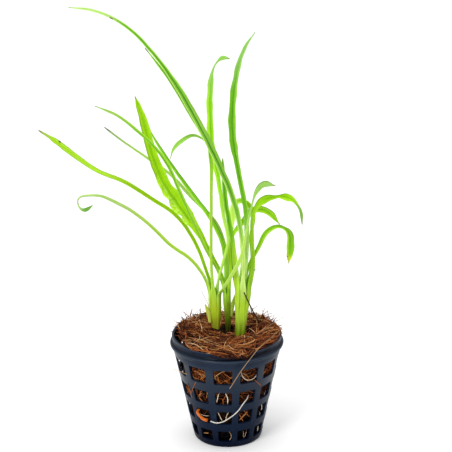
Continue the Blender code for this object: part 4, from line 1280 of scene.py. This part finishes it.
def curve_through(name, stations):
    """A smooth open curve through the stations, and its points."""
    curve = add_piece(name, bpy.ops.curve.primitive_bezier_curve_add)
    points = curve.data.splines[0].bezier_points
    points.add(len(stations) - 2)
    for point, station in zip(points, stations):
        point.co = station
        point.handle_left_type = "AUTO"
        point.handle_right_type = "AUTO"
    return curve, points


def bend_along(piece, stations, tilts):
    """Bends a piece that lies along X onto a route, turned about it by the tilts.

    A curve's level side faces up, so the curve lies with +Z to the front and the piece is turned back after.
    """
    rail, points = curve_through("rail", [(station.x, station.z, -station.y) for station in stations])
    for point, tilt in zip(points, tilts):
        point.tilt = tilt
    rail.data.twist_mode = "Z_UP"
    rail.data.use_stretch = True
    rail.data.use_deform_bounds = True
    rail.data.resolution_u = 8
    modify(piece, "CURVE", object=rail, deform_axis="POS_X")
    pick(piece)
    piece.rotation_euler = (math.radians(90.0), 0.0, 0.0)
    bpy.ops.object.transform_apply()
    bpy.data.objects.remove(rail, do_unlink=True)


def ruffle(leaf, share, side):
    """How far a margin stands out of the blade at a place."""
    height = 0.0
    for start, end, most, waves, which in leaf.get("ruffles", ()):
        if side * which >= 0:
            inside = smooth_step((share - start) / RUFFLE_EASE) * smooth_step((end - share) / RUFFLE_EASE)
            wave = math.sin(math.tau * waves * (share - start) / (end - start) + 1.3 * side)
            height += most * inside * wave * abs(side) ** 1.6
    return height


def bitten(leaf, share, side):
    """What is left of a half-width where the margin is torn or notched."""
    left = 1.0
    for place, which, depth, length in leaf.get("bites", ()):
        if side * which > 0:
            left -= depth * 0.5 * math.exp(-((share - place) / (0.5 * length)) ** 2)
    return left


def lean_at(leaf, share):
    """A leaf's twist and lean at a share of its length, in degrees."""
    twist = read_profile(leaf.get("turns", FACING_FRONT), max(share, 0.0))
    return twist, leaf["lean"] * smooth_step(share / LEAN_FROM) * (1.0 - abs(twist) / LEAN_FADE)


def build_leaf(name):
    """One leaf, from inside its crown to its tip."""
    leaf, crown = LEAVES[name], crown_of(name)
    base, blade_route, outward = rooted_route(crown, leaf)
    stations = smooth_route([*base, *blade_route], LEAF_STEPS)
    lengths = lengths_along(stations)
    length = lengths[-1]
    start = lengths[LEAF_STEPS * len(base)] / length

    def share_at(far):
        return (far / length - start) / (1.0 - start)

    wrapped = math.remainder(outward, math.pi)
    facing = 1.0 if abs(math.remainder(outward, math.tau)) <= math.pi / 2 else -1.0
    tilts = []
    for far in lengths:
        eased = smooth_step((far - start * length) / LEAF_TURN)
        turned = math.radians(sum(lean_at(leaf, share_at(far))))
        tilts.append(wrapped * (1.0 - eased) + turned * eased)
    blade = grid_leaf(name + "_blade", length)
    thick = blade.vertex_groups.new(name="thickness")
    seed = 7.0 * len(name) + leaf["foot"][0]
    crown_width = crown_at(crown, crown_top(crown))[2]
    for vertex in blade.data.vertices:
        far, side = vertex.co.x, vertex.co.y
        share = share_at(far)
        near = smooth_step(1.0 - (far - start * length) / SHEATH_FADE)
        below = smooth_step((start * length - far) / ROOT_DEPTH)
        base_width = crown_width * (SHEATH_WIDTH - SHEATH_TAPER * below)
        lean = lean_at(leaf, share)[1]
        width = read_profile(leaf["widths"], max(share, 0.0)) / math.cos(math.radians(lean))
        width += (base_width - width) * near
        grown = smooth_step((share - leaf["blade_from"] + BLADE_EARLY) / BLADE_EASE)
        margin = 1.0 + MARGIN_LUMP * grown * lump(far, 5.0 if side > 0 else 0.0, seed, MARGIN_LUMP_SIZE)
        half = width / 2 * margin * bitten(leaf, share, side)
        height = -FOLD * width * (1.0 - abs(side) ** 1.4) * (1.0 - near)
        height -= facing * near * (width / 2 * side) ** 2 / (2.0 * crown_width)
        swell = BLADE_LUMP * grown * width * lump(far, side, seed, BLADE_LUMP_SIZE)
        height += ruffle(leaf, share, side) + swell
        wander = MIDRIB_LUMP * width * lump(far, 3.0, seed, MIDRIB_LUMP_SIZE)
        vertex.co = (far, half * side + wander, height)
        rounding = MARGIN_THICK + (1.0 - MARGIN_THICK) * math.sqrt(max(0.0, 1.0 - side * side))
        thick.add([vertex.index], min(leaf_thickness(max(share, 0.0)), width) * rounding, "REPLACE")
    bend_along(blade, stations, tilts)
    modify(blade, "SOLIDIFY", thickness=1.0, offset=0.0, vertex_group="thickness", use_even_offset=False)
    soften(blade)
    settle(blade, leaf_skin(name, leaf, start), [name])


def build_stub(name, material, route, widths):
    """A cut old sheath beside a crown: a short torn strip, hollow towards the crown."""
    stations = smooth_route(route, 4)
    length = lengths_along(stations)[-1]
    stub = grid_leaf(name + "_sheath", length)
    for vertex in stub.data.vertices:
        share, side = vertex.co.x / length, vertex.co.y
        uneven = 1.0 + STUB_LUMP * lump(vertex.co.x, side, 4.0, STUB_LUMP_SIZE)
        width = read_profile(widths, share) * uneven
        frayed = 0.35 * smooth_step((share - 0.85) / 0.15) * lump(side, 1.0, 2.0, 0.4)
        vertex.co = (vertex.co.x - frayed, width / 2 * side, -0.25 * width * side * side)
    bend_along(stub, stations, [0.0] * len(stations))
    modify(stub, "SOLIDIFY", thickness=STUB_THICKNESS, offset=0.0)
    soften(stub)
    settle(stub, material, [name])


def build_strand(name, material, slot, start, end, route):
    """A round strand that tapers evenly and is never quite straight or even."""
    stations = smooth_route(route, 6)
    strand, points = curve_through(name + "_strand", stations)
    for i, (point, station) in enumerate(zip(points, stations)):
        uneven = 1.0 + STRAND_LUMP * lump(*station, STRAND_LUMP_SIZE)
        point.radius = (start + (end - start) * i / (len(stations) - 1)) * uneven
    strand.data.bevel_depth = 1.0
    strand.data.bevel_resolution = 3
    strand.data.resolution_u = 3
    strand.data.use_fill_caps = True
    pick(strand)
    bpy.ops.object.convert(target="MESH")
    settle(bpy.context.object, material, [name])


def build_plant():
    for crown in CROWNS:
        build_crown(crown)
    for name in LEAVES:
        build_leaf(name)
    skins = {name: strand_skin(name, *look) for name, look in SKINS.items()}
    for name, (skin, *form) in STUBS.items():
        build_stub(name, skins[skin], *form)
    for name, (skin, *form) in STRANDS.items():
        build_strand(name, skins[skin], *form)


# The studio


def place_camera():
    forward = Vector((0.0, math.cos(CAMERA_PITCH), -math.sin(CAMERA_PITCH)))
    right = Vector((1.0, 0.0, 0.0))
    up = right.cross(forward)
    across = right * math.cos(CAMERA_ROLL) + up * math.sin(CAMERA_ROLL)
    above = up * math.cos(CAMERA_ROLL) - right * math.sin(CAMERA_ROLL)
    camera = add_piece("camera", bpy.ops.object.camera_add)
    turn = Matrix((across, above, -forward)).transposed().to_4x4()
    camera.matrix_world = Matrix.Translation(CAMERA_PLACE) @ turn
    camera.data.sensor_width = CAMERA_SENSOR
    camera.data.lens = CAMERA_LENS
    camera.data.clip_start = 0.01
    camera.data.clip_end = 20.0
    bpy.context.scene.camera = camera


def light_studio():
    world = bpy.data.worlds.new("studio")
    world.use_nodes = True
    background = world.node_tree.nodes["Background"]
    background.inputs["Color"].default_value = (1.0, 1.0, 1.0, 1.0)
    background.inputs["Strength"].default_value = WORLD_STRENGTH
    bpy.context.scene.world = world
    for name, (place, aim, size, power) in LIGHTS.items():
        light = add_piece(name, bpy.ops.object.light_add, type="AREA", location=place)
        light.rotation_euler = (Vector(aim) - Vector(place)).to_track_quat("-Z", "Y").to_euler()
        light.data.size = size
        light.data.energy = power
    bpy.context.scene.view_settings.view_transform = "Standard"


def lay_floor():
    floor = add_piece("floor", bpy.ops.mesh.primitive_plane_add, size=FLOOR_SIZE)
    paper = Finish("white_paper", Specular_IOR_Level=0.1)
    grain = paper.noise(0.8, 2.0)
    floor.data.materials.append(paper.finish(paper.mix(grain, (0.93, 0.93, 0.93), (0.95, 0.95, 0.95)), 0.9))


place_camera()
light_studio()
lay_floor()
build_pot()
build_core()
build_fibres()
build_plant()
